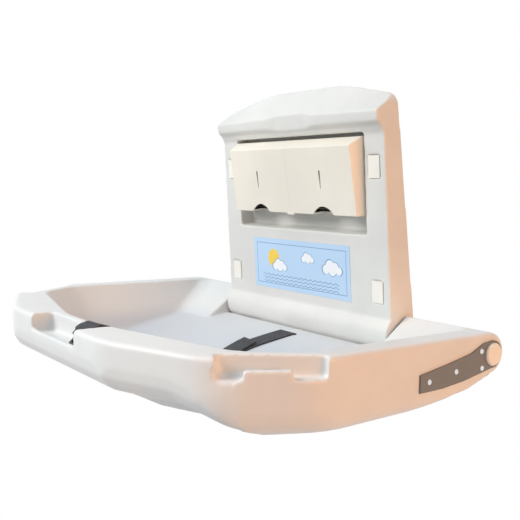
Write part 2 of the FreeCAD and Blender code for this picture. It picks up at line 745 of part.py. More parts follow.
# Outline of a hinge arm and places of its screws, in shares of its length and height
ARM_TOP_SHARES = ((0, 0), (0.13, 0.04), (0.31, 0.25), (0.645, 0.42), (1, 0.57))
ARM_LOW_SHARES = ((1, 1), (0.71, 0.985), (0.41, 0.9), (0, 0.7))
ARM_SCREW_SHARES = ((0.175, 0.23), (0.16, 0.66), (0.53, 0.63), (0.89, 0.76))


def arm_place(along, drop):
    """A place on an arm: along from the hinge line to the tip, drop from its top to its lowest."""
    y = -s.hinge_back - (s.arm_front - s.hinge_back) * along
    z = s.arm_end_radius - s.hinge_drop - (s.arm_drop + s.arm_end_radius) * drop
    return y, z


def along_hinge(radius, start, end):
    """A cylinder on the hinge line between two places along it."""
    return Part.makeCylinder(radius, end - start, Vector(start, pivot.y, pivot.z), Vector(1, 0, 0))


def belt_slot(from_wall):
    """A slot through the floor for both layers of a belt's end."""
    width = s.belt_width + 2 * s.slot_play
    depth = 2 * s.belt_thickness + 2 * s.slot_play
    corner = Vector(-width / 2, -from_wall - depth / 2, -s.under_depth_front - s.overrun)
    return Part.makeBox(width, depth, s.under_depth_front + s.overrun, corner)


def underside_at(from_wall):
    """Depth of the bed's underside at a distance from the wall."""
    if from_wall > s.belly_front:
        return under_depth_at(from_wall)
    if from_wall > s.break_from_wall:
        return under_depth_at(from_wall) + s.belly_drop
    if from_wall < s.knee_from_wall:
        share = (from_wall - s.hinge_back) / (s.knee_from_wall - s.hinge_back)
        return 2 * s.hinge_drop + (s.knee_depth - 2 * s.hinge_drop) * share
    share = (from_wall - s.knee_from_wall) / (s.break_from_wall - s.knee_from_wall)
    return s.knee_depth + (under_depth_at(s.break_from_wall) - s.knee_depth) * share


anchor_loop = s.anchor_bar / 2 + s.seat_gap + s.belt_thickness


def anchor_height(from_wall):
    """Height of a belt's anchor bar, let into the underside."""
    return anchor_loop + s.seat_gap - underside_at(from_wall)


def block(x, y, z, width, length, height):
    """A box by its middle."""
    return Part.makeBox(width, length, height, Vector(x - width / 2, y - length / 2, z - height / 2))


def anchor_seat(from_wall):
    """The seat of an anchor bar and its loop of webbing, open at the underside."""
    top = anchor_height(from_wall) + anchor_loop + s.seat_gap
    low = -s.under_depth_front - 2 * s.overrun
    width = s.anchor_width + 2 * s.seat_gap
    length = s.anchor_length + 2 * s.belt_thickness + 4 * s.seat_gap
    return block(0, -from_wall, (top + low) / 2, width, length, top - low)


def crest_scoop():
    """The shallow scoop in the crest behind the grip, in which the belt lies."""
    middle = (s.basin_front + s.grip_back) / 2
    wide = s.belt_width / 2 + 2 * s.slot_play
    deep = -s.crest_scoop
    view = [(s.belt_shift - wide, deep), (s.belt_shift + wide, deep),
            (s.belt_shift + wide + s.overrun, s.overrun), (s.belt_shift - wide - s.overrun, s.overrun)]
    length = s.grip_back - s.basin_front + 2 * s.overrun
    wire = straight_wire(view, facing_front(-middle - length / 2))
    return prism(wire, Vector(0, length, 0))


def bed_shell():
    body = bed_outside().fuse(belly())
    cuts = [front_lift(), basin(), notch(), grip_pocket()]
    for name, side in SIDES:
        cuts.append(hook_pocket(side))
        inner = side * (s.notch_half - s.overrun)
        outer = side * far_x
        room = s.shaft_radius + s.shaft_room
        cuts.append(along_hinge(room, min(inner, outer), max(inner, outer)))
        damper_end = side * (s.notch_half + s.damper_length)
        cuts.append(along_hinge(s.damper_radius + s.seat_gap, min(inner, damper_end), max(inner, damper_end)))
        bush_end = side * (s.bed_half - s.bush_length)
        bush_radius = s.shaft_radius + s.shaft_play + s.bush_wall
        cuts.append(along_hinge(bush_radius, min(bush_end, outer), max(bush_end, outer)))
        for share in ARM_SCREW_SHARES:
            y, z = arm_place(*share)
            depth = s.screw_shank_length - s.arm_thickness + s.seat_gap
            hole = Vector(side * (s.bed_half - depth), y, z)
            cuts.append(Part.makeCylinder(s.screw_shank_radius, depth + s.overrun, hole, Vector(side, 0, 0)))
    for from_wall in (s.belt_anchor_rear, s.belt_anchor_front):
        cuts += [belt_slot(from_wall), anchor_seat(from_wall)]
    cuts.append(crest_scoop())
    for cut in cuts:
        body = body.cut(cut)
    return body.removeSplitter()


solid_feature("bed_shell", bed_shell(), bed_place)


# Hinge arms: steel plates screwed to the bed's ends, with their screws

for name, side in SIDES:
    arm = new_body("hinge_arm_" + name, bed_place)
    outline = new_sketch(arm, "YZ_Plane", side * s.bed_half)
    draw_outline(outline, [arm_place(*share) for share in ARM_TOP_SHARES + ARM_LOW_SHARES])
    pad(arm, outline, s.arm_thickness, side < 0)
    end = new_sketch(arm, "YZ_Plane", side * s.bed_half)
    draw_circle(end, -s.hinge_back, -s.hinge_drop, s.arm_end_radius)
    pad(arm, end, s.arm_thickness, side < 0)
    holes = new_sketch(arm, "YZ_Plane", side * s.bed_half)
    draw_circle(holes, -s.hinge_back, -s.hinge_drop, s.shaft_radius + s.shaft_play)
    for share in ARM_SCREW_SHARES:
        y, z = arm_place(*share)
        draw_circle(holes, y, z, s.screw_shank_radius)
    pocket(arm, holes, s.arm_thickness, side > 0)


def round_head_screw(head_radius, head_height, shank_radius, shank_length):
    """A screw along -X under its head's seat at X zero, with a low bevelled head."""
    shank = Part.makeCylinder(shank_radius, shank_length, Vector(0, 0, 0), Vector(-1, 0, 0))
    head = Part.makeCylinder(head_radius, head_height, Vector(0, 0, 0), Vector(1, 0, 0))
    top = [edge for edge in head.Edges if edge.BoundBox.XMin > head_height / 2]
    return head.makeChamfer(head_height / 2, top).fuse(shank).removeSplitter()


for name, side in SIDES:
    screws = []
    for share in ARM_SCREW_SHARES:
        y, z = arm_place(*share)
        screw = round_head_screw(s.screw_head_radius, s.screw_head_height,
                                 s.screw_shank_radius, s.screw_shank_length)
        if side < 0:
            screw.rotate(Vector(0, 0, 0), Vector(0, 0, 1), 180)
        screw.translate(Vector(side * (s.bed_half + s.arm_thickness), y, z))
        screws.append(screw)
    solid_feature("arm_screws_" + name, Part.makeCompound(screws), bed_place)


# Hinge: one fixed shaft, a bush and a damper at each end of the bed, screws and caps

shaft_half = s.bed_half + s.arm_thickness
shaft = new_body("hinge_shaft", hinge_place)
tapped_from = shaft_half - s.bush_length
tapped = s.screw_shank_radius
revolve(shaft, [(-tapped_from, 0), (tapped_from, 0), (tapped_from, tapped), (shaft_half, tapped),
                (shaft_half, s.shaft_radius), (-shaft_half, s.shaft_radius), (-shaft_half, tapped),
                (-tapped_from, tapped)])

bore = s.shaft_radius + s.shaft_play
for name, side in SIDES:
    bush = new_body("hinge_bush_" + name, bed_hinge_place)
    outer = side * s.bed_half
    inner = side * (s.bed_half - s.bush_length)
    revolve(bush, [(inner, bore), (outer, bore), (outer, bore + s.bush_wall), (inner, bore + s.bush_wall)])

    damper = new_body("hinge_damper_" + name, bed_hinge_place)
    outer = side * (s.notch_half + s.damper_length)
    inner = side * s.notch_half
    revolve(damper, [(inner, bore), (outer, bore), (outer, s.damper_radius), (inner, s.damper_radius)])

    screw = new_body("shaft_screw_" + name, hinge_place)
    seat = side * (shaft_half + s.seat_gap)
    face = side * (shaft_half + s.seat_gap + s.end_screw_height)
    root = side * (shaft_half - s.bush_length)
    revolve(screw, [(root, 0), (face, 0), (face, s.end_screw_radius), (seat, s.end_screw_radius),
                    (seat, s.screw_shank_radius), (root, s.screw_shank_radius)])

    cap = new_body("hinge_cap_" + name, bed_hinge_place)
    seat = side * shaft_half
    face = side * (shaft_half + s.cap_height)
    roof = side * (shaft_half + s.cap_height - s.cap_wall)
    shoulder = side * (shaft_half + s.cap_height / 2)
    brim = s.cap_radius - s.cap_wall
    revolve(cap, [(roof, 0), (face, 0), (face, brim), (shoulder, s.cap_radius), (seat, s.cap_radius),
                  (seat, brim), (roof, brim)])


# Wall unit: a moulded shell, open at the back, with hood, roll, recess and bolt wells

def unit_view(inset):
    """The wall unit from the front: tapering sides under an arched, round-cornered top."""
    low = -s.hinge_drop - s.roll_radius
    half = [(s.panel_half_low, low), (s.panel_half_top, s.ridge_side), (s.arch_half, s.ridge_high)]
    points = both_sides(half)
    return inset_outline(points, [inset] * len(points))


def unit_block(inset, back):
    """The wall unit as a full block, moved in by an inset on every side but the back."""
    low = -s.hinge_drop - s.roll_radius + inset
    high = s.ridge_high + s.overrun
    cove_y = s.panel_front_top + (s.lip_front - s.panel_front_top) * COVE_SHARE
    cove_z = s.cove_height + (s.lip_low - s.cove_height) * (1 - COVE_SHARE)
    side_view = [
        (back, low),
        (-s.hinge_back, low),
        (-s.panel_front_low + inset, -s.hinge_drop),
        (-s.panel_front_top + inset, s.cove_height + inset),
        (-cove_y + inset, cove_z + inset),
        (-s.lip_front + inset, s.lip_low + inset),
        (-s.lip_front + inset, high),
        (back, high),
    ]
    block = prism(straight_wire(side_view, facing_side(-far_x)), across)
    block = block.fuse(along_hinge(s.roll_radius - inset, -far_x, far_x))
    corner = s.hood_corner_radius - inset
    radii = [s.arch_radius, corner, s.pocket_radius, s.pocket_radius, corner, s.arch_radius]
    front_wire = rounded_wire(unit_view(inset), radii, facing_front(back))
    block = block.common(prism(front_wire, Vector(0, -s.lip_front - 2 * s.overrun, 0)))
    return block.cut(hood_slope(inset))


COVE_SHARE = 0.4


def hood_slope(inset):
    """What is cut away above the hood, from its level lip up to its arched ridge."""
    wide = s.panel_half_low + s.overrun
    high = s.ridge_high + 3 * s.overrun
    reach = s.overrun / s.lip_front

    def view(share):
        middle = s.lip_high + s.lip_bow + (s.ridge_high - s.lip_high - s.lip_bow) * share - inset
        side = s.lip_high + (s.ridge_side - s.lip_high) * share - inset
        points = [(wide, side), (s.arch_half, middle), (-s.arch_half, middle), (-wide, side)]
        return points + [(-wide, high), (wide, high)]

    radii = [s.seat_gap, s.arch_radius / 2, s.arch_radius / 2, s.seat_gap, s.seat_gap, s.seat_gap]
    rear = rounded_wire(view(1 + reach), radii, facing_front(s.overrun))
    front = rounded_wire(view(-reach), radii, facing_front(-s.lip_front - s.overrun))
    return Part.makeLoft([front, rear], True, True)


def front_box(x, z, half_width, half_height, near, far):
    """A block by its middle in the front view and its two distances from the wall."""
    return Part.makeBox(2 * half_width, far - near, 2 * half_height,
                        Vector(x - half_width, -far, z - half_height))


BOLT_PLACES = [(name + "_" + level, side * s.bolt_half_x, height)
               for name, side in SIDES
               for level, height in (("lower", s.bolt_low), ("upper", s.bolt_high))]


def lip_scoop(wall):
    """The shallow finger scoop in the hood's lip, or that scoop grown by a wall."""
    out = (s.scoop_half_out + wall, -s.lip_front)
    inner = (s.scoop_half_in + wall, s.scoop_depth + wall - s.lip_front)
    grow = s.overrun / s.scoop_depth
    far = (out[0] + (out[0] - inner[0]) * grow, -s.lip_front - s.overrun)
    low = s.cove_height - s.overrun
    view = [(-far[0], far[1]), far, inner, (-inner[0], inner[1])]
    return prism(straight_wire(view, flat(low)), Vector(0, 0, s.ridge_high - low))


def wall_unit():
    outer = unit_block(0, 0).cut(lip_scoop(0))
    far = s.lip_front + s.overrun
    unit = outer.cut(unit_block(s.panel_wall, s.overrun).cut(lip_scoop(s.panel_wall)))
    middle = (s.recess_low + s.recess_high) / 2
    half = (s.recess_high - s.recess_low) / 2
    wall = s.panel_wall
    box = front_box(0, middle, s.recess_half + wall, half + wall, s.recess_back - wall, far)
    unit = unit.fuse(box.common(outer))
    width = s.well_width / 2 + s.cover_play
    height = s.well_height / 2 + s.cover_play
    for name, x, z in BOLT_PLACES:
        well = front_box(x, z, width + s.well_wall, height + s.well_wall, s.chassis_sheet, far)
        unit = unit.fuse(well.common(outer))
    unit = unit.cut(front_box(0, middle, s.recess_half, half, s.recess_back, far))
    for name, x, z in BOLT_PLACES:
        unit = unit.cut(front_box(x, z, width, height, s.chassis_sheet + s.well_wall, far))
        unit = unit.cut(Part.makeCylinder(s.bolt_hole_radius, far, Vector(x, 0, z), Vector(0, -1, 0)))
    unit = unit.cut(along_hinge(s.shaft_radius + s.shaft_room, -far_x, far_x))
    middle = (s.chassis_high - s.chassis_low) / 2
    tall = (s.chassis_high + s.chassis_low) / 2
    room = front_box(0, middle, s.chassis_half + s.seat_gap, tall + s.seat_gap, -s.overrun,
                     s.chassis_sheet + s.seat_gap)
    return unit.cut(room).removeSplitter()


solid_feature("wall_panel", wall_unit())


# Chassis: a bent steel plate on the wall that carries the shaft and the rest brackets

chassis = new_body("wall_chassis")
plate = new_sketch(chassis, "XZ_Plane", Size(0, "0"))
half = s.chassis_half
draw_outline(plate, [(-half, -s.chassis_low), (half, -s.chassis_low), (half, s.chassis_high),
                     (-half, s.chassis_high)])
pad(chassis, plate, s.chassis_sheet)
cutouts = new_sketch(chassis, "XZ_Plane", Size(0, "0"))
draw_outline(cutouts, [(-s.window_half, s.window_low), (s.window_half, s.window_low),
                       (s.window_half, s.window_high), (-s.window_half, s.window_high)])
for name, x, z in BOLT_PLACES:
    draw_circle(cutouts, x, z, s.bolt_hole_radius)
pocket(chassis, cutouts, s.chassis_sheet, True)
for name, side in SIDES:
    ear = new_sketch(chassis, "YZ_Plane", side * s.chassis_half)
    ear_half = s.ear_reach
    draw_outline(ear, [(Size(0, "0"), -s.hinge_drop - ear_half), (-s.hinge_back, -s.hinge_drop - ear_half),
                       (-s.hinge_back - ear_half, -s.hinge_drop), (-s.hinge_back, -s.hinge_drop + ear_half),
                       (Size(0, "0"), -s.hinge_drop + ear_half)])
    draw_circle(ear, -s.hinge_back, -s.hinge_drop, s.shaft_radius)
    pad(chassis, ear, s.arm_thickness, side > 0)
upright = Vector(0, 1, 0)
round_edges(chassis, s.pocket_radius,
            lambda edge: is_along(edge, upright) and edge.Length < s.chassis_sheet + s.seat_gap)


# Rest brackets and their rubber pads, on which the open bed lies

def under_open_bed(from_wall, below):
    """A place in (Y, height) under the open bed, square below its underside by a distance."""
    slope = math.atan2(underside_at(s.break_from_wall) - s.knee_depth, s.break_from_wall - s.knee_from_wall)
    y = -from_wall + below * math.sin(slope)
    z = -underside_at(from_wall) - below * math.cos(slope)
    point = bed_place.multVec(Vector(0, y, z))
    return point.y, point.z


pad_rear = s.stop_reach - s.pad_length
pad_low = s.seat_gap + s.pad_height
for name, side in SIDES:
    near = side * (s.stop_middle - s.stop_width / 2)
    wide = Vector(side * s.stop_width, 0, 0)
    rubber = [under_open_bed(pad_rear, s.seat_gap), under_open_bed(s.stop_reach, s.seat_gap),
              under_open_bed(s.stop_reach, pad_low), under_open_bed(pad_rear, pad_low)]
    solid_feature("rest_pad_" + name, prism(straight_wire(rubber, facing_side(near)), wide))
    steel = s.arm_thickness
    top_rear = under_open_bed(pad_rear, pad_low)
    low_rear = under_open_bed(pad_rear, pad_low + steel)
    wall_y = -s.chassis_sheet
    view = [(wall_y, top_rear[1]), top_rear, under_open_bed(s.stop_reach, pad_low),
            under_open_bed(s.stop_reach, pad_low + steel), low_rear,
            (wall_y - steel, low_rear[1]), (wall_y - steel, -s.chassis_low), (wall_y, -s.chassis_low)]
    solid_feature("rest_bracket_" + name, prism(straight_wire(view, facing_side(near)), wide))


# Screw covers: hollow snap-in caps over the four bolt wells

def screw_cover(x, z):
    """A cap with its skirt square to the wall and its face along the wall unit's lean."""
    depth = s.cover_face + s.cover_skirt

    def slab(inset, proud, deep):
        half_x = s.well_width / 2 - inset
        low = z - s.well_height / 2 + inset
        high = z + s.well_height / 2 - inset
        low_front = -panel_front_at(low)
        high_front = -panel_front_at(high)
        view = [(low_front - proud, low), (low_front + deep, low), (high_front + deep, high),
                (high_front - proud, high)]
        return prism(straight_wire(view, facing_side(x - half_x)), Vector(2 * half_x, 0, 0))

    cap = slab(0, s.cover_proud, depth)
    ends = (panel_front_at(z - s.well_height / 2), panel_front_at(z + s.well_height / 2))
    rear = -min(ends) - s.cover_proud / 2
    cap = cap.makeFillet(s.cover_proud / 2, [edge for edge in cap.Edges if edge.BoundBox.YMax < rear])
    return cap.cut(slab(s.cap_wall, -s.cover_face, depth + s.overrun)).removeSplitter()


for name, x, z in BOLT_PLACES:
    solid_feature("screw_cover_" + name, screw_cover(x, z))


# Label: a bare printed plate stuck on the wall unit's face

label = doc.addObject("Part::Box", "label_plate")
label.Label = "label_plate"
bind(label, Length=2 * s.label_half, Width=s.label_sheet, Height=s.label_high - s.label_low)
label_y = -panel_front_at(s.label_low) - s.label_sheet - s.glue_line
label.Placement = Placement(Vector(-s.label_half, label_y, s.label_low), unit_lean)


# Liner dispenser: a tray fixed in the recess and a hollow cover hung over it

def cover_block(inset, back):
    side_view = [
        (-back, s.cover_low + inset),
        (-back, s.cover_top - inset),
        (-s.cover_step, s.cover_top - inset),
        (-s.cover_front_top + inset, s.cover_brow - inset),
        (-s.cover_front_low + inset, s.cover_low + inset),
    ]
    block = prism(straight_wire(side_view, facing_side(-far_x)), across)
    plan = [(s.cover_half_back - inset, -back), (s.cover_half_back - inset, -s.cover_step),
            (s.cover_half_front - inset, -s.cover_front_top)]
    wire = straight_wire(both_sides(plan), flat(s.cover_low - s.overrun))
    return block.common(prism(wire, Vector(0, 0, s.cover_top - s.cover_low + 2 * s.overrun)))


def dispenser_cover():
    far = s.cover_front_top + s.overrun
    back = s.recess_back + s.cover_wall
    outer = cover_block(0, back)
    rounded = [edge for edge in outer.Edges if edge.BoundBox.YMax < -s.cover_step - s.overrun / 2]
    cover = outer.makeFillet(s.cover_wall / 2, rounded).cut(cover_block(s.cover_wall, s.recess_back))
    for side in (1, -1):
        x = side * s.outlet_half_x
        centre = Vector(x, -far, s.cover_low + s.outlet_rise - s.outlet_radius)
        cover = cover.cut(Part.makeCylinder(s.outlet_radius, far - s.cover_step, centre, Vector(0, 1, 0)))
        slot = [(x - s.sight_narrow / 2, s.sight_low), (x + s.sight_narrow / 2, s.sight_low),
                (x + s.sight_wide / 2, s.sight_high), (x - s.sight_wide / 2, s.sight_high)]
        radii = [s.sight_narrow / 3, s.sight_narrow / 3, s.sight_wide / 3, s.sight_wide / 3]
        wire = rounded_wire(slot, radii, facing_front(-far))
        cover = cover.cut(prism(wire, Vector(0, far - s.cover_step, 0)))
    return cover.removeSplitter()


solid_feature("dispenser_cover", dispenser_cover())

tray = new_body("liner_tray")
tray_half = s.cover_half_back - s.cover_wall - s.tray_play
tray_low = s.cover_low + s.cover_wall + s.lift_travel + s.tray_play
tray_high = s.cover_top - s.cover_wall - s.seat_gap
tray_depth = s.cover_step - s.recess_back
outline = new_sketch(tray, "XZ_Plane", s.recess_back)
draw_outline(outline, [(-tray_half, tray_low), (tray_half, tray_low), (tray_half, tray_high),
                       (-tray_half, tray_high)])
pad(tray, outline, tray_depth)
bays = new_sketch(tray, "XZ_Plane", s.cover_step)
wall = s.tray_wall
for near, far in ((-tray_half + wall, -wall / 2), (wall / 2, tray_half - wall)):
    draw_outline(bays, [(near, tray_low + wall), (far, tray_low + wall), (far, tray_high - wall),
                        (near, tray_high - wall)])
pocket(tray, bays, tray_depth - wall)
screw_holes = new_sketch(tray, "XZ_Plane", s.recess_back)
tray_middle = (tray_low + tray_high) / 2
TRAY_SCREW_SHARES = (-0.75, -0.25, 0.25, 0.75)
for share in TRAY_SCREW_SHARES:
    draw_circle(screw_holes, tray_half * share, tray_middle, s.screw_shank_radius)
pocket(tray, screw_holes, wall, True)

screws = []
for share in TRAY_SCREW_SHARES:
    screw = round_head_screw(s.screw_head_radius, s.screw_head_height, s.screw_shank_radius,
                             s.tray_wall)
    screw.rotate(Vector(0, 0, 0), Vector(0, 0, 1), -90)
    screw.translate(Vector(tray_half * share, -s.recess_back - s.tray_wall, tray_middle))
    screws.append(screw)
solid_feature("tray_screws", Part.makeCompound(screws))


# Belt: webbing from the rear slot along the floor, over the crest, and its tail back

def ribbon(stations, width, thickness):
    """A band of webbing through stations of (X, Y, height, turn), turned to Y per X."""
    wires = []
    for index, (x, y, z, turn) in enumerate(stations):
        before = stations[max(index - 1, 0)]
        after = stations[min(index + 1, len(stations) - 1)]
        run = Vector(0, after[1] - before[1], after[2] - before[2]).normalize()
        up = Vector(0, -run.z, run.y) * (thickness / 2)
        middle = Vector(x, y, z)
        half = Vector(width / 2, turn * width / 2, 0)
        corners = [middle - half - up, middle + half - up, middle + half + up, middle - half + up]
        wires.append(Part.makePolygon(corners + corners[:1]))
    return Part.makeLoft(wires, True, True)


def floor_height(from_wall):
    return -min(floor_depth_at(from_wall), s.floor_depth)


def belt_x(from_wall):
    """The belt drifts sideways along the floor, past the buckle socket."""
    share = (from_wall - s.belt_bend_from_wall) / (s.belt_bend_to_wall - s.belt_bend_from_wall)
    return s.belt_shift * min(max(share, 0), 1)


def front_turn(inset):
    """How far the basin's bent front wall turns in under the belt, at an inset."""
    slant = (s.basin_front - s.basin_corner_y) / (s.basin_corner_x - s.basin_flat_half)
    bend = s.basin_flat_half - inset * slant / 2
    return (s.belt_shift + s.belt_width / 2 - bend) * slant / s.belt_width


def round_corner(y, z, radius, from_angle, to_angle, turn=0.0):
    """Stations round an edge or in a hollow, by angle from straight up towards the room."""
    stations = []
    for share in (0, 0.5, 1):
        angle = from_angle + (to_angle - from_angle) * share
        middle = y - radius * math.sin(angle) + turn * s.belt_width / 2
        stations.append((s.belt_shift, middle, z + radius * math.cos(angle), turn))
    return stations


def belt_layer(height):
    """Stations of one layer of the belt along the floor and over the crest into the grip."""
    lean = math.atan2(s.floor_depth, s.wall_lean)
    tangent = s.floor_blend * math.tan(lean / 2)
    foot = -s.basin_front + s.wall_lean + tangent
    hollow = height - s.floor_blend
    layer = [(belt_x(from_wall), -from_wall, floor_height(from_wall) + height, 0)
             for from_wall in (s.belt_bend_from_wall, s.floor_flat_from_wall, s.belt_bend_to_wall)]
    layer += round_corner(foot, s.floor_blend - s.floor_depth, hollow, 0, -lean, front_turn(s.wall_lean))
    crest_y = -s.basin_front + s.wall_lean * s.crest_scoop / s.floor_depth
    layer += round_corner(crest_y, -s.crest_scoop, height, -lean, 0, front_turn(0))
    return layer + round_corner(-s.grip_back, -s.crest_scoop, height, 0, math.pi / 2)


def tongue_place():
    """The buckle tongue's place: its rear bar at the origin, its tip towards -Y."""
    out = 2 * s.seat_gap + s.belt_thickness + s.tongue_thickness
    drop = s.crest_scoop + s.belt_thickness / 2 + s.tongue_thickness
    middle = Vector(s.belt_shift, -s.grip_back - out, -drop)
    return Placement(middle, Rotation(Vector(1, 0, 0), float(s.tongue_lean)))


def round_tongue(along, up):
    """A belt station at a distance along and above the buckle tongue's rear bar."""
    point = tongue_place().multVec(Vector(0, -along, up))
    return (point.x, point.y, point.z, 0)


def anchored(from_wall):
    """First stations of a belt: up from its anchor bar and out of its slot."""
    bar = anchor_height(from_wall) + anchor_loop - s.belt_thickness / 2
    surface = floor_height(from_wall)
    return [(0, -from_wall, bar, 0), (0, -from_wall, surface - s.belt_thickness, 0)]


def anchor_loop_shape(from_wall):
    """The sewn loop of webbing round an anchor bar."""
    inner = s.anchor_bar + 2 * s.seat_gap
    length = s.anchor_length + 2 * s.seat_gap
    height = anchor_height(from_wall)
    wall = 2 * s.belt_thickness
    loop = block(0, -from_wall, height, s.belt_width, length + wall, inner + wall)
    return loop.cut(block(0, -from_wall, height, s.belt_width + s.overrun, length, inner))


def belt_long():
    low = s.seat_gap + s.belt_thickness / 2
    high = low + s.belt_thickness + s.seat_gap
    slot = s.belt_anchor_rear
    out = slot + s.belt_thickness
    start = anchored(slot) + [(0, -out, floor_height(out) + low, 0)] + belt_layer(low)
    reach = s.tongue_thickness / 2 + 2 * low
    half = reach / 2
    turn = [round_tongue(-half, -reach), round_tongue(half, -reach), round_tongue(reach, 0),
            round_tongue(half, reach), round_tongue(-half, reach)]
    tail_from = s.belt_tail_from_wall
    tail = [(0, -tail_from, floor_height(tail_from) + high, 0)]
    band = ribbon(start + turn + belt_layer(high)[::-1][2:] + tail, s.belt_width, s.belt_thickness)
    return band.fuse(anchor_loop_shape(slot)).removeSplitter()


solid_feature("belt_long", belt_long(), bed_place)


def belt_short():
    """The front belt from its slot to the buckle socket."""
    low = s.seat_gap + s.belt_thickness / 2
    slot = s.belt_anchor_front
    start = anchored(slot)
    near = slot - s.belt_thickness
    end = socket_front - s.overrun
    rise = s.seat_gap + s.socket_thickness / 2
    stations = start + [(0, -near, -s.floor_depth + low, 0), (0, -socket_front, -s.floor_depth + rise, 0),
                        (0, -end, -s.floor_depth + rise, 0)]
    band = ribbon(stations, s.belt_width, s.belt_thickness)
    return band.fuse(anchor_loop_shape(slot)).removeSplitter()


socket_front = s.belt_anchor_front - s.overrun
solid_feature("belt_short", belt_short(), bed_place)


# Belt anchors: a flat bar in each belt's sewn loop, let into the bed's underside

for name, from_wall in (("rear", s.belt_anchor_rear), ("front", s.belt_anchor_front)):
    bar = block(0, -from_wall, anchor_height(from_wall), s.anchor_width, s.anchor_length, s.anchor_bar)
    solid_feature("belt_anchor_" + name, bar, bed_place)


# Buckle: a tongue with a slot for the doubled belt, and a hollow socket that it plugs into

def buckle_tongue():
    thick = s.tongue_thickness
    half = s.tongue_width / 2
    tip = s.tongue_tip / 2
    rear = thick / 2
    slot_end = thick / 2 + thick + s.slot_play
    shoulder = slot_end + thick
    front = s.tongue_length - thick / 2
    view = both_sides([(tip, -front), (tip, -shoulder - thick), (half, -shoulder), (half, rear)])
    radii = [s.slot_play, thick, s.slot_play, thick]
    plate = prism(rounded_wire(view, radii + radii[::-1], flat(-thick / 2)), Vector(0, 0, thick))
    near = (front + shoulder + thick - s.latch_length) / 2
    window = both_sides([(s.latch_width / 2, -near - s.latch_length), (s.latch_width / 2, -near)])
    hole = rounded_wire(window, [s.slot_play] * len(window), flat(-thick))
    plate = plate.cut(prism(hole, Vector(0, 0, 2 * thick)))
    inner = s.belt_width / 2 + s.slot_play
    length = slot_end - thick / 2
    return plate.cut(block(0, -thick / 2 - length / 2, 0, 2 * inner, length, 2 * thick))


solid_feature("buckle_tongue", buckle_tongue(), bed_place.multiply(tongue_place()))


def buckle_socket():
    """The socket lies on the floor; its mouth for the tongue faces the wall."""
    front = -socket_front
    middle = front + s.socket_length / 2
    height = s.seat_gap + s.socket_thickness / 2 - s.floor_depth
    case = block(0, middle, height, s.socket_width, s.socket_length, s.socket_thickness)
    upright = [edge for edge in case.Edges if is_along(edge, Vector(0, 0, 1))]
    case = case.makeFillet(s.tongue_thickness, upright)
    top = height + s.socket_thickness / 2
    case = case.makeChamfer(s.tongue_thickness / 2, [edge for edge in case.Edges if is_level_edge(edge, top)])
    room = s.tongue_tip + 2 * s.slot_play
    depth = s.socket_length - s.overrun - s.tongue_thickness
    mouth = block(0, middle + s.socket_length / 2, height, room, 2 * depth, s.tongue_thickness + s.slot_play)
    entry = block(0, front, height, s.belt_width + s.seat_gap * 2, 2 * s.overrun + s.seat_gap * 2,
                  s.belt_thickness + 2 * s.seat_gap)
    return case.cut(mouth).cut(entry)


solid_feature("buckle_socket", buckle_socket(), bed_place)


# Every object is checked before any piece is written

doc.recompute()
for item in doc.Objects:
    if "Invalid" in item.State or "Error" in item.State:
        raise RuntimeError(item.Label + " was not built")
pieces = [item for item in doc.Objects if item.TypeId in ("Part::Feature", "Part::Box", "PartDesign::Body")]
for item in pieces:
    if item.Shape.isNull() or not item.Shape.isValid():
        raise RuntimeError(item.Label + " has no valid shape")
for item in pieces:
    item.Shape.exportStep("parts/%s.step" % item.Label)
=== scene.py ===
import math

import bpy
from mathutils import Matrix, Vector


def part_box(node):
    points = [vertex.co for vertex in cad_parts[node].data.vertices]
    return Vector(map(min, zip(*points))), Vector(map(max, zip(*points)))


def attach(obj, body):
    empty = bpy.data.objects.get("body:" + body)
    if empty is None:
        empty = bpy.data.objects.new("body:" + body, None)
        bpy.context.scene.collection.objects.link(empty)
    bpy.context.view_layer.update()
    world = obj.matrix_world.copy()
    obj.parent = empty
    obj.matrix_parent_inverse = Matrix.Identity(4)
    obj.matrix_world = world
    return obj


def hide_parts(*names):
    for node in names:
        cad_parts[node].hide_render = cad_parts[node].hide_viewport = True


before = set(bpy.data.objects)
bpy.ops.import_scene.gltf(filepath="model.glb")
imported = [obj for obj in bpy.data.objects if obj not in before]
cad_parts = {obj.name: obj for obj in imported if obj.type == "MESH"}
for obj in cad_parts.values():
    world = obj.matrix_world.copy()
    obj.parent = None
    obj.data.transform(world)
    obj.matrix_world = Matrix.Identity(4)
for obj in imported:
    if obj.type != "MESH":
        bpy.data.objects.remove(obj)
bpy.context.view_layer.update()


# Camera: a phone held a little above the open bed, to the right of it and in front.
# The photograph has no shift and leans by about two degrees.

camera = bpy.data.objects.new("camera", bpy.data.cameras.new("camera"))
bpy.context.scene.collection.objects.link(camera)
camera.data.lens = 53.56
camera.data.sensor_width = 36
camera.data.clip_start = 0.05
right = Vector((0.594, 0.7991, -0.0920)).normalized()
back = Vector((0.8, -0.5751, 0.1712)).normalized()
up = back.cross(right).normalized()
right = up.cross(back)
turn = Matrix((right, up, back)).transposed().to_4x4()
camera.matrix_world = Matrix.Translation((1.192, -1.0062, 0.3557)) @ turn
bpy.context.scene.camera = camera
bpy.context.scene.view_settings.view_transform = "Standard"


# Wall chassis: the pressed, galvanised steel frame that is bolted to the wall behind the
# panel and carries the hinge shaft. Zinc crystals show as faint, patchy spangle.

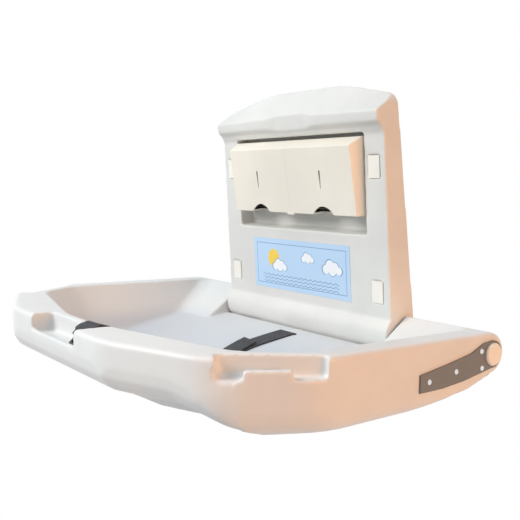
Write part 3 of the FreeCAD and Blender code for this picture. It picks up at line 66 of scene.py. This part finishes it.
class Flow:
    """A value, colour or vector on its way through a material's nodes."""

    def __init__(self, tree, socket=None):
        self.tree = tree
        self.socket = socket

    def node(self, kind, settings=None, inputs=None, output=0):
        made = self.tree.nodes.new(kind)
        for name, value in (settings or {}).items():
            setattr(made, name, value)
        for name, value in (inputs or {}).items():
            if isinstance(value, Flow):
                self.tree.links.new(value.socket, made.inputs[name])
            else:
                made.inputs[name].default_value = value
        return Flow(self.tree, made.outputs[output])

    def parted(self):
        """The three parts of a vector."""
        parts = self.node("ShaderNodeSeparateXYZ", None, {0: self}).socket.node
        return [Flow(self.tree, output) for output in parts.outputs]

    def maths(self, operation, *others):
        return self.node("ShaderNodeMath", {"operation": operation}, dict(enumerate((self, *others))))

    def __add__(self, other):
        return self.maths("ADD", other)

    def __sub__(self, other):
        return self.maths("SUBTRACT", other)

    def __rsub__(self, other):
        return self.node("ShaderNodeMath", {"operation": "SUBTRACT"}, {0: other, 1: self})

    def __mul__(self, other):
        return self.maths("MULTIPLY", other)

    __radd__ = __add__
    __rmul__ = __mul__

    def between(self, low, high):
        """0 at low and 1 at high, with a soft step between them."""
        settings = {"interpolation_type": "SMOOTHSTEP"}
        return self.node("ShaderNodeMapRange", settings, {0: self, 1: low, 2: high})

    def mixed(self, first, second):
        """From the first colour at 0 to the second at 1."""
        # The mix node's colours are its sockets 6 and 7, and its mixed colour is its output 2.
        shades = [shade if isinstance(shade, Flow) else (*shade, 1) for shade in (first, second)]
        return self.node("ShaderNodeMix", {"data_type": "RGBA"}, {0: self, 6: shades[0], 7: shades[1]}, 2)

    def noise(self, scale, detail=2.0):
        return self.node("ShaderNodeTexNoise", None, {"Vector": self, "Scale": scale, "Detail": detail})

    def stretched(self, x, y, z):
        return self.node("ShaderNodeMapping", None, {"Vector": self, "Scale": (x, y, z)})

    def feeds(self, socket):
        self.tree.links.new(self.socket, socket)


def new_finish(name, constants):
    """An empty finish: its material, its shader's sockets and the place on the piece."""
    material = bpy.data.materials.new(name)
    material.use_nodes = True
    sockets = material.node_tree.nodes["Principled BSDF"].inputs
    for socket, value in constants.items():
        sockets[socket].default_value = value
    place = Flow(material.node_tree).node("ShaderNodeTexCoord", output="Object")
    return material, sockets, place


def bumpy(height, depth, strength=1.0):
    return height.node("ShaderNodeBump", None, {"Height": height, "Distance": depth, "Strength": strength})


def dress(node, material):
    """Gives a CAD node that stays its own finish."""
    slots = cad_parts[node].data.materials
    slots.clear()
    slots.append(material)


def zinc_finish():
    material, sockets, place = new_finish("galvanised_sheet", {"Metallic": 0.85})
    spangle = place.node("ShaderNodeTexVoronoi", None, {"Vector": place, "Scale": 90.0}, "Color")
    patch = spangle.node("ShaderNodeSeparateColor", None, {0: spangle})
    cloud = place.noise(14.0)
    patch.mixed((0.46, 0.48, 0.5), (0.62, 0.64, 0.65)).feeds(sockets["Base Color"])
    (0.34 + patch * 0.16 + cloud * 0.1).feeds(sockets["Roughness"])
    bumpy(place.noise(700.0), 0.0001, 0.5).feeds(sockets["Normal"])
    return material


galvanised = zinc_finish()
dress("wall_chassis", galvanised)


# Wall panel: one thick-walled polyethylene moulding with a crowned hood, a recess for the
# liner dispenser and a round roll along its foot. Its edges are melted soft by the mould.

WELD_DISTANCE = 0.00002
EXTRA_PASSES = 70


def melt(piece, passes, group=""):
    """Runs out the small edges of the active piece, all over or in one vertex group."""
    softening = piece.modifiers.new("softening", "SMOOTH")
    softening.factor = 0.5
    softening.iterations = passes
    softening.vertex_group = group
    bpy.ops.object.modifier_apply(modifier="softening")


def softened_moulding(node, name, grain, passes, most_triangles, extra_soft=None):
    """A copy of a CAD node as one continuous moulded skin with its small facets run out."""
    piece = bpy.data.objects.new(name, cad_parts[node].data.copy())
    bpy.context.scene.collection.objects.link(piece)
    piece.data.materials.clear()
    bpy.ops.object.select_all(action="DESELECT")
    piece.select_set(True)
    bpy.context.view_layer.objects.active = piece
    bpy.ops.object.mode_set(mode="EDIT")
    bpy.ops.mesh.select_all(action="SELECT")
    bpy.ops.mesh.remove_doubles(threshold=WELD_DISTANCE)
    bpy.ops.object.mode_set(mode="OBJECT")
    skin = piece.modifiers.new("skin", "REMESH")
    skin.mode = "VOXEL"
    skin.voxel_size = grain
    bpy.ops.object.modifier_apply(modifier="skin")
    melt(piece, passes)
    if extra_soft:
        region = piece.vertex_groups.new(name="extra_soft")
        region.add([corner.index for corner in piece.data.vertices if extra_soft(corner.co)], 1.0, "REPLACE")
        melt(piece, EXTRA_PASSES, region.name)
    thin = piece.modifiers.new("thin", "DECIMATE")
    thin.ratio = min(1.0, most_triangles / (2 * len(piece.data.polygons)))
    bpy.ops.object.modifier_apply(modifier="thin")
    bpy.ops.object.shade_smooth()
    return piece


def moulded_finish(name, shade, dusty, roughness, marks_and_painted_shade=None):
    """Polyethylene: a faint orange-peel skin, uneven gloss and patches of greyer tone at random; what is
    laid over the tone is a real mark, such as a mould seam, or painted shade, as on the bed's floor.
    """
    material, sockets, place = new_finish(name, {"IOR": 1.51})
    cloud = place.noise(5.0, 3.0)
    fine = place.noise(850.0, 1.0)
    rubbed = place.stretched(1.0, 1.0, 0.25).noise(38.0, 4.0).between(0.56, 0.74)
    tone = cloud.between(0.3, 0.72).mixed(dusty, shade)
    tone = (rubbed * 0.22).mixed(tone, dusty)
    (marks_and_painted_shade(place, tone) if marks_and_painted_shade else tone).feeds(sockets["Base Color"])
    (roughness + cloud * 0.1 + rubbed * 0.12 + fine * 0.05).feeds(sockets["Roughness"])
    skin = fine * 0.5 + place.noise(160.0, 2.0)
    bumpy(skin, 0.00022, 0.55).feeds(sockets["Normal"])
    return material


panel = softened_moulding("wall_panel", "wall_panel_moulding", grain=0.0018, passes=16,
                          most_triangles=190000)
panel.data.materials.append(moulded_finish("panel_plastic", (0.735, 0.73, 0.70), (0.66, 0.655, 0.63), 0.36))
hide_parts("wall_panel")
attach(panel, "wall_unit")


# Screw covers: four small rectangular caps over the wall bolts, injection moulded of a
# paler plastic than the panel's and snapped into its wells.

cover_plastic = moulded_finish("cap_plastic", (0.89, 0.865, 0.80), (0.81, 0.785, 0.72), 0.34)
for side in ("left", "right"):
    for level in ("lower", "upper"):
        dress(f"screw_cover_{side}_{level}", cover_plastic)


# Label: a printed plastic film glued into the panel. The print is a plain design: a pale
# blue field in a thin border, a sun, three small clouds, and rows of small waves.

# Places and sizes of the print, in metres from its middle; a cloud's puffs are in shares
# of its size.
BORDER_HALF_LENGTH = 0.139
BORDER_HALF_HEIGHT = 0.0425
BORDER_LINE = 0.0006
SUN = (-0.082, 0.012, 0.019)
CLOUDS = ((-0.062, -0.004, 0.0105), (0.028, 0.018, 0.0088), (0.1, 0.004, 0.0125))
CLOUD_PUFFS = ((-1.5, -0.1, 0.75), (-0.55, 0.45, 1.0), (0.6, 0.3, 0.85), (1.5, -0.15, 0.65),
               (0.0, -0.25, 0.8))
CLOUD_EDGE_SHARE = 1.1
WAVE_ROWS = (-0.024, -0.031, -0.038)
WAVE_RATE = 420.0
WAVE_HEIGHT = 0.0014
WAVE_LINE = (0.0009, 0.0004)
WAVES_HALF_LENGTH = 0.118
SOFT_EDGE = 0.0005


def label_finish():
    material, sockets, place = new_finish("label_print", {"IOR": 1.49})
    low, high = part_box("label_plate")
    middle = (low + high) / 2
    x, _, z = place.parted()
    x = x - middle.x
    z = z - middle.z

    def round_spot(centre_x, centre_z, radius):
        dx = x - centre_x
        dz = z - centre_z
        return (dx * dx + dz * dz).maths("SQRT").between(radius, radius - SOFT_EDGE)

    def cloud(centre_x, centre_z, size):
        shape = round_spot(centre_x, centre_z, size)
        for across, above, share in CLOUD_PUFFS:
            puff = round_spot(centre_x + across * size, centre_z + above * size, share * size)
            shape = shape.maths("MAXIMUM", puff)
        return shape

    beyond_x = x.maths("ABSOLUTE") - BORDER_HALF_LENGTH
    beyond_z = z.maths("ABSOLUTE") - BORDER_HALF_HEIGHT
    beyond = beyond_x.maths("MAXIMUM", beyond_z)
    border = beyond.between(-2 * BORDER_LINE, -BORDER_LINE) * beyond.between(BORDER_LINE, 0.0)
    field = place.noise(9.0, 1.0).mixed((0.46, 0.64, 0.86), (0.53, 0.70, 0.89))
    shade = border.mixed(field, (0.12, 0.27, 0.52))
    shade = round_spot(*SUN).mixed(shade, (0.88, 0.62, 0.08))
    for across, above, size in CLOUDS:
        shade = cloud(across, above, size * CLOUD_EDGE_SHARE).mixed(shade, (0.14, 0.3, 0.55))
        shade = cloud(across, above, size).mixed(shade, (0.86, 0.88, 0.9))
    wave = (x * WAVE_RATE).maths("SINE") * WAVE_HEIGHT
    for row in WAVE_ROWS:
        off = z - row - wave
        line = off.maths("ABSOLUTE").between(*WAVE_LINE)
        within = x.maths("ABSOLUTE").between(WAVES_HALF_LENGTH, WAVES_HALF_LENGTH - 0.001)
        shade = (line * within).mixed(shade, (0.1, 0.22, 0.42))
    shade.feeds(sockets["Base Color"])
    (0.3 + place.noise(60.0) * 0.08).feeds(sockets["Roughness"])
    bumpy(place.noise(240.0), 0.00006, 0.5).feeds(sockets["Normal"])
    return material


dress("label_plate", label_finish())


# Liner dispenser: an open dark tray screwed into the recess, and a lift-off beige cover
# hung over it, with a pull tab at the middle of its lower edge. Both are injection moulded.

dress("liner_tray", moulded_finish("tray_plastic", (0.014, 0.012, 0.011), (0.010, 0.009, 0.008), 0.6))


def middle_seam(place, tone):
    """The faint line where the two halves of the cover's mould met."""
    x, _, _ = place.parted()
    seam = x.maths("ABSOLUTE").between(0.0008, 0.0003)
    return (seam * 0.35).mixed(tone, (0.5, 0.47, 0.42))


cover_beige = moulded_finish("dispenser_plastic", (0.87, 0.81, 0.71), (0.80, 0.745, 0.65), 0.36, middle_seam)
dress("dispenser_cover", cover_beige)
cover_low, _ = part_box("dispenser_cover")
TAB_SIZE = (0.02, 0.003, 0.006)
TAB_FROM_WALL = 0.0628
TAB_EDGE = 0.0009
bpy.ops.object.select_all(action="DESELECT")
bpy.ops.mesh.primitive_cube_add(size=1, location=(0, -TAB_FROM_WALL, cover_low.z), scale=TAB_SIZE)
bpy.ops.object.transform_apply(location=True, rotation=True, scale=True)
pull_tab = bpy.context.object
pull_tab.name = "dispenser_pull_tab"
edge = pull_tab.modifiers.new("edge", "BEVEL")
edge.width = TAB_EDGE
edge.segments = 3
bpy.ops.object.modifier_apply(modifier="edge")
pull_tab.data.materials.append(cover_beige)
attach(pull_tab, "cover")


def bright_finish():
    """Nickel-bright screw steel with turning marks and handling smears."""
    material, sockets, place = new_finish("bright_steel", {"Metallic": 1.0})
    smear = place.noise(55.0, 3.0)
    smear.mixed((0.66, 0.65, 0.63), (0.8, 0.79, 0.77)).feeds(sockets["Base Color"])
    (0.2 + smear * 0.18).feeds(sockets["Roughness"])
    bumpy(place.noise(1500.0), 0.00004, 0.5).feeds(sockets["Normal"])
    return material


bright_steel = bright_finish()
dress("tray_screws", bright_steel)


# Rest brackets: two folded, galvanised steel brackets on the chassis, on which the open
# bed comes to rest, each with a moulded rubber pad on top.

def rubber_finish():
    material, sockets, place = new_finish("pad_rubber", {"IOR": 1.45})
    bloom = place.noise(90.0, 3.0)
    bloom.mixed((0.018, 0.018, 0.02), (0.045, 0.045, 0.047)).feeds(sockets["Base Color"])
    (0.68 + bloom * 0.2).feeds(sockets["Roughness"])
    bumpy(place.noise(1100.0), 0.00015, 0.6).feeds(sockets["Normal"])
    return material


pad_rubber = rubber_finish()
for side in ("left", "right"):
    dress("rest_bracket_" + side, galvanised)
    dress("rest_pad_" + side, pad_rubber)


# Bed: one large double-walled polyethylene moulding, a shallow tub with a broad rim, a
# grip pocket and bag hooks let into its front edge. Every corner is drawn soft.

# The bed is drawn with its rim level and turned up by the rest angle about the hinge line.
REST_ANGLE = math.radians(8)
HINGE_LINE = Vector((0, -0.035, -0.0335))
rest_turn = Matrix.Rotation(-REST_ANGLE, 4, "X")
raised = Matrix.Translation(HINGE_LINE) @ rest_turn @ Matrix.Translation(-HINGE_LINE)
lowered = raised.inverted()

# The basin with its rim level, and the strip in its front wall that the belts lie against
BASIN_HALF_LENGTH = 0.385
BASIN_FRONT, BASIN_REAR = -0.522, -0.13
BASIN_LOW, BASIN_HIGH = -0.1, -0.014
BELT_STRIP_HALF = 0.1
BELT_STRIP_REAR = -0.4


def in_basin(corner):
    """True on the basin's walls and floor, away from the belts' ends."""
    x, y, z = lowered @ corner
    beside_belts = abs(x) > BELT_STRIP_HALF or y > BELT_STRIP_REAR
    within = abs(x) < BASIN_HALF_LENGTH and BASIN_FRONT < y < BASIN_REAR and BASIN_LOW < z < BASIN_HIGH
    return beside_belts and within


# Where the painted shade on the basin's floor begins and where it is full: downwards, inwards from the bed's
# ends, and inwards from its front
PAINTED_SHADE_DOWN = (-0.045, -0.088)
PAINTED_SHADE_FROM_ENDS = (0.4, 0.34)
PAINTED_SHADE_FROM_FRONT = (-0.54, -0.5)


def painted_floor_shade(place, tone):
    """Painted shade: the basin's floor is drawn a little darker and colder in its deep middle, away from the
    ends and the front.
    """
    x, y, z = place.parted()
    depth = z * math.cos(REST_ANGLE) + y * math.sin(REST_ANGLE)
    low = depth.between(*PAINTED_SHADE_DOWN)
    inside = x.maths("ABSOLUTE").between(*PAINTED_SHADE_FROM_ENDS) * y.between(*PAINTED_SHADE_FROM_FRONT)
    return (low * inside).mixed(tone, (0.57, 0.60, 0.64))


bed = softened_moulding("bed_shell", "bed_moulding", grain=0.0024, passes=8,
                        most_triangles=190000, extra_soft=in_basin)
# The bed's plastic carries painted shade on the basin's floor.
bed_plastic = moulded_finish("bed_plastic", (0.765, 0.765, 0.755), (0.69, 0.69, 0.685), 0.34, painted_floor_shade)
bed.data.materials.append(bed_plastic)
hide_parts("bed_shell")
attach(bed, "bed")


# Hinges: a flat steel arm screwed to each side of the bed turns on the ends of one long
# shaft, in nylon bushes, with a rotary damper inside and a pale cap over each end.

def arm_finish():
    """Grey-brown painted flat bar, with brushed streaks along its length."""
    material, sockets, place = new_finish("arm_paint", {"Metallic": 0.35})
    streak = place.stretched(1.0, 0.12, 1.0).noise(420.0, 3.0)
    patch = place.noise(26.0, 3.0)
    streak.mixed((0.15, 0.145, 0.14), (0.205, 0.2, 0.19)).feeds(sockets["Base Color"])
    (0.42 + patch * 0.14 + streak * 0.08).feeds(sockets["Roughness"])
    bumpy(streak, 0.00005, 0.6).feeds(sockets["Normal"])
    return material


def nylon_finish():
    material, sockets, place = new_finish("bush_nylon", {"IOR": 1.53})
    cloud = place.noise(120.0)
    cloud.mixed((0.56, 0.54, 0.48), (0.66, 0.64, 0.58)).feeds(sockets["Base Color"])
    (0.4 + cloud * 0.15).feeds(sockets["Roughness"])
    bumpy(place.noise(1300.0), 0.00006, 0.5).feeds(sockets["Normal"])
    return material


def damper_finish():
    material, sockets, place = new_finish("damper_steel", {"Metallic": 0.9})
    turned = place.stretched(1.0, 0.05, 0.05).noise(900.0, 2.0)
    turned.mixed((0.3, 0.3, 0.31), (0.42, 0.42, 0.43)).feeds(sockets["Base Color"])
    (0.3 + turned * 0.15).feeds(sockets["Roughness"])
    bumpy(turned, 0.00005, 0.5).feeds(sockets["Normal"])
    return material


arm_paint = arm_finish()
bush_nylon = nylon_finish()
damper_steel = damper_finish()
dress("hinge_shaft", bright_steel)
for side in ("left", "right"):
    dress("hinge_arm_" + side, arm_paint)
    dress("arm_screws_" + side, bright_steel)
    dress("shaft_screw_" + side, bright_steel)
    dress("hinge_bush_" + side, bush_nylon)
    dress("hinge_damper_" + side, damper_steel)
    dress("hinge_cap_" + side, cover_plastic)


# Belts: 48 mm polypropylene webbing, woven flat with a rib along it and a tighter edge. The
# long one comes up through the rear slot, lies along the floor, goes over the front crest,
# turns round the buckle tongue in the grip pocket and comes back on itself to a loose tail.

BELT_WIDTH = 0.048
BELT_THICKNESS = 0.0018
BELT_STEP = 0.004


def smooth_run(stations):
    """Places along a smooth line through the belt's stations, at most a step apart."""
    places = [Vector(station) for station in stations]
    line = []
    for index in range(len(places) - 1):
        before = places[max(index - 1, 0)]
        start, end = places[index], places[index + 1]
        after = places[min(index + 2, len(places) - 1)]
        span = (end - start).length
        lead = (end - before).normalized() * span
        trail = (after - start).normalized() * span
        count = max(2, math.ceil(span / BELT_STEP))
        for number in range(count):
            share = number / count
            cube, square = share ** 3, share ** 2
            line.append(start * (2 * cube - 3 * square + 1) + lead * (cube - 2 * square + share)
                        + end * (3 * square - 2 * cube) + trail * (cube - square))
    return line + places[-1:]


def webbing_strip(name, stations):
    """One layer of webbing along its stations (x, y, z, turn), with its length in its UV map."""
    line = [(*(raised @ Vector(place[:3])), place[3]) for place in smooth_run(stations)]
    columns = 8
    corners = []
    lengths = [0.0]
    for index, place in enumerate(line):
        middle = Vector(place[:3])
        if index:
            lengths.append(lengths[-1] + (middle - Vector(line[index - 1][:3])).length)
        half = Vector((BELT_WIDTH / 2, place[3] * BELT_WIDTH / 2, 0))
        corners += [middle + half * (2 * column / columns - 1) for column in range(columns + 1)]
    faces = [(row * (columns + 1) + column, row * (columns + 1) + column + 1,
              (row + 1) * (columns + 1) + column + 1, (row + 1) * (columns + 1) + column)
             for row in range(len(line) - 1) for column in range(columns)]
    mesh = bpy.data.meshes.new(name)
    mesh.from_pydata(corners, [], faces)
    weave = mesh.uv_layers.new(name="weave")
    for loop in mesh.loops:
        row, column = divmod(loop.vertex_index, columns + 1)
        weave.data[loop.index].uv = (BELT_WIDTH * column / columns, lengths[row])
    strip = bpy.data.objects.new(name, mesh)
    bpy.context.scene.collection.objects.link(strip)
    bpy.ops.object.select_all(action="DESELECT")
    strip.select_set(True)
    bpy.context.view_layer.objects.active = strip
    body = strip.modifiers.new("body", "SOLIDIFY")
    body.thickness = BELT_THICKNESS
    body.offset = 0
    bpy.ops.object.modifier_apply(modifier="body")
    edge = strip.modifiers.new("edge", "BEVEL")
    edge.width = BELT_THICKNESS * 0.3
    edge.segments = 2
    edge.angle_limit = math.radians(60)
    bpy.ops.object.modifier_apply(modifier="edge")
    bpy.ops.object.shade_smooth()
    return strip


# The weave's turns per metre of webbing, in radians, and its edge, from the middle line
RIB_RATE = 3900.0
WEFT_RATE = 5200.0
SELVEDGE = (0.0205, 0.0215)


def webbing_finish():
    """Charcoal webbing: ribs along it, wefts across it, and a dark woven edge on each side."""
    material, sockets, place = new_finish("webbing_weave", {"Sheen Weight": 0.1, "Sheen Roughness": 0.5})
    woven = place.node("ShaderNodeUVMap", {"uv_map": "weave"})
    across, along, _ = woven.parted()
    ribs = (across * RIB_RATE).maths("SINE")
    wefts = (along * WEFT_RATE).maths("SINE")
    bars = (across * (RIB_RATE / 2)).maths("SINE")
    cloth = ribs * 0.5 + wefts * bars * 0.5
    from_middle = (across - BELT_WIDTH / 2).maths("ABSOLUTE")
    selvedge = from_middle.between(*SELVEDGE)
    worn = place.noise(45.0, 3.0)
    shade = cloth.between(-0.9, 0.9).mixed((0.009, 0.011, 0.016), (0.023, 0.027, 0.036))
    shade = (worn.between(0.5, 0.8) * 0.25).mixed(shade, (0.06, 0.066, 0.075))
    (selvedge * 0.7).mixed(shade, (0.010, 0.011, 0.014)).feeds(sockets["Base Color"])
    (0.78 + cloth * 0.06).feeds(sockets["Roughness"])
    bumpy(cloth, 0.00025, 0.9).feeds(sockets["Normal"])
    return material


# Both belts' stations, x, y, z and turn, are written with the rim level, as the bed is drawn.

def anchor_loop(y, z):
    """Stations of the sewn loop round an anchor bar, ending above the middle of the bar."""
    half_y, half_z, bend = 0.0062, 0.0027, 0.001
    return [(0, y + bend, z + half_z, 0), (0, y + half_y - bend, z + half_z, 0),
            (0, y + half_y, z + half_z - bend, 0), (0, y + half_y, z - half_z + bend, 0),
            (0, y + half_y - bend, z - half_z, 0), (0, y - half_y + bend, z - half_z, 0),
            (0, y - half_y, z - half_z + bend, 0), (0, y - half_y, z + half_z - bend, 0),
            (0, y - half_y + bend, z + half_z, 0), (0, y - bend, z + half_z + bend / 4, 0)]


LONG_BELT = anchor_loop(-0.0920, -0.0804) + [
    (0.0000, -0.0920, -0.0700, 0), (0.0000, -0.0920, -0.0659, 0), (0.0000, -0.0938, -0.0632, 0),
    (0.0000, -0.2000, -0.0814, 0), (0.0282, -0.2900, -0.0968, 0), (0.0580, -0.3850, -0.0968, 0),
    (0.0580, -0.4539, -0.0968, 0.141), (0.0580, -0.4619, -0.0948, 0.141), (0.0580, -0.4679, -0.0892, 0.141),
    (0.0580, -0.5243, -0.0043, 0.102), (0.0580, -0.5253, -0.0038, 0.102), (0.0580, -0.5460, -0.0038, 0),
    (0.0580, -0.5472, -0.0050, 0), (0.0580, -0.5478, -0.0116, 0), (0.0580, -0.5510, -0.0146, 0),
    (0.0580, -0.5556, -0.0129, 0), (0.0580, -0.5570, -0.0082, 0), (0.0580, -0.5538, -0.0052, 0),
    (0.0580, -0.5460, -0.0017, 0), (0.0580, -0.5253, -0.0017, 0.102), (0.0580, -0.5225, -0.0032, 0.102),
    (0.0580, -0.4662, -0.0880, 0.141), (0.0580, -0.4609, -0.0929, 0.141), (0.0580, -0.4539, -0.0947, 0.141),
    (0.0580, -0.3850, -0.0947, 0), (0.0262, -0.2900, -0.0947, 0), (-0.0050, -0.2050, -0.0790, -0.08),
    (-0.0090, -0.1800, -0.0722, -0.14)]
SHORT_BELT = anchor_loop(-0.4520, -0.1075) + [
    (0.0000, -0.4520, -0.1010, 0), (0.0000, -0.4518, -0.0985, 0), (0.0000, -0.4500, -0.0965, 0),
    (0.0000, -0.4420, -0.0922, 0), (0.0000, -0.4320, -0.0922, 0)]
webbing = webbing_finish()
for name, stations in (("belt_long", LONG_BELT), ("belt_short", SHORT_BELT)):
    belt = webbing_strip(name + "_webbing", stations)
    belt.data.materials.append(webbing)
    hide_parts(name)
    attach(belt, "bed")


# Belt anchors: a flat zinc-plated steel bar in each belt's sewn loop, let in from under
# the bed. It is longer than the belt's slot, so that the belt can't pull it through.

for end in ("rear", "front"):
    dress("belt_anchor_" + end, galvanised)


# Buckle: a flat tongue on the long belt and a hollow socket on the short one, injection
# moulded of acetal, black and semi-matt.

def buckle_finish():
    material, sockets, place = new_finish("buckle_acetal", {"IOR": 1.48})
    rub = place.noise(130.0, 3.0)
    rub.mixed((0.014, 0.014, 0.016), (0.03, 0.03, 0.033)).feeds(sockets["Base Color"])
    (0.34 + rub * 0.16).feeds(sockets["Roughness"])
    bumpy(place.noise(1600.0), 0.00006, 0.6).feeds(sockets["Normal"])
    return material


buckle_acetal = buckle_finish()
dress("buckle_tongue", buckle_acetal)
dress("buckle_socket", buckle_acetal)


# Studio: a white room without edges, a large soft lamp over the front, a cool ceiling and
# a warm lamp low on the right, which tints every face that looks that way.

FLOOR_SPAN = 24
FLOOR_LEVEL = -0.85
WHITE = (1, 1, 1)


def seen_white(flow):
    """1 for rays that show the room to the camera, straight, mirrored or through something."""
    camera_ray = flow.node("ShaderNodeLightPath", output="Is Camera Ray")
    kinds = camera_ray.socket.node.outputs
    glossy = Flow(flow.tree, kinds["Is Glossy Ray"])
    through = Flow(flow.tree, kinds["Is Transmission Ray"])
    return camera_ray.maths("MAXIMUM", glossy).maths("MAXIMUM", through)


bpy.ops.object.select_all(action="DESELECT")
bpy.ops.mesh.primitive_plane_add(size=FLOOR_SPAN, location=(0, 0, FLOOR_LEVEL))
floor = bpy.context.object
floor.name = "studio_floor"
floor_paint, floor_sockets, floor_place = new_finish("floor_paint", {"Roughness": 0.8})
floor_sockets["Base Color"].default_value = (0.6, 0.6, 0.6, 1)
glow = floor_place.node("ShaderNodeEmission", None, {"Color": (*WHITE, 1), "Strength": 1.0})
nodes = floor_paint.node_tree.nodes
painted = Flow(floor_place.tree, nodes["Principled BSDF"].outputs[0])
seen = seen_white(floor_place)
mixed = seen.node("ShaderNodeMixShader", None, {0: seen, 1: painted, 2: glow})
mixed.feeds(nodes["Material Output"].inputs["Surface"])
floor.data.materials.append(floor_paint)

world = bpy.data.worlds.new("studio")
bpy.context.scene.world = world
world.use_nodes = True
shade = seen_white(Flow(world.node_tree)).mixed((0.26, 0.295, 0.33), WHITE)
shade.feeds(world.node_tree.nodes["Background"].inputs["Color"])


def soft_lamp(name, place, aim, size, power, shade):
    """A round lamp that is as wide as its size, with its power in watts."""
    lamp = bpy.data.objects.new(name, bpy.data.lights.new(name, "AREA"))
    bpy.context.scene.collection.objects.link(lamp)
    lamp.data.shape = "DISK"
    lamp.data.size = size
    lamp.data.energy = power
    lamp.data.color = shade
    lamp.location = place
    lamp.rotation_euler = (Vector(aim) - Vector(place)).to_track_quat("-Z", "Y").to_euler()


soft_lamp("key_lamp", (-0.9, -2.7, 2.2), (0, -0.25, 0), 2.2, 104, (1.0, 0.995, 0.975))
soft_lamp("top_lamp", (0, -0.3, 3.0), (0, -0.3, 0), 2.0, 16, (0.82, 0.93, 1.0))
soft_lamp("warm_lamp", (2.95, 0.25, 0.45), (0, -0.25, 0), 1.6, 51, (1.0, 0.47, 0.16))
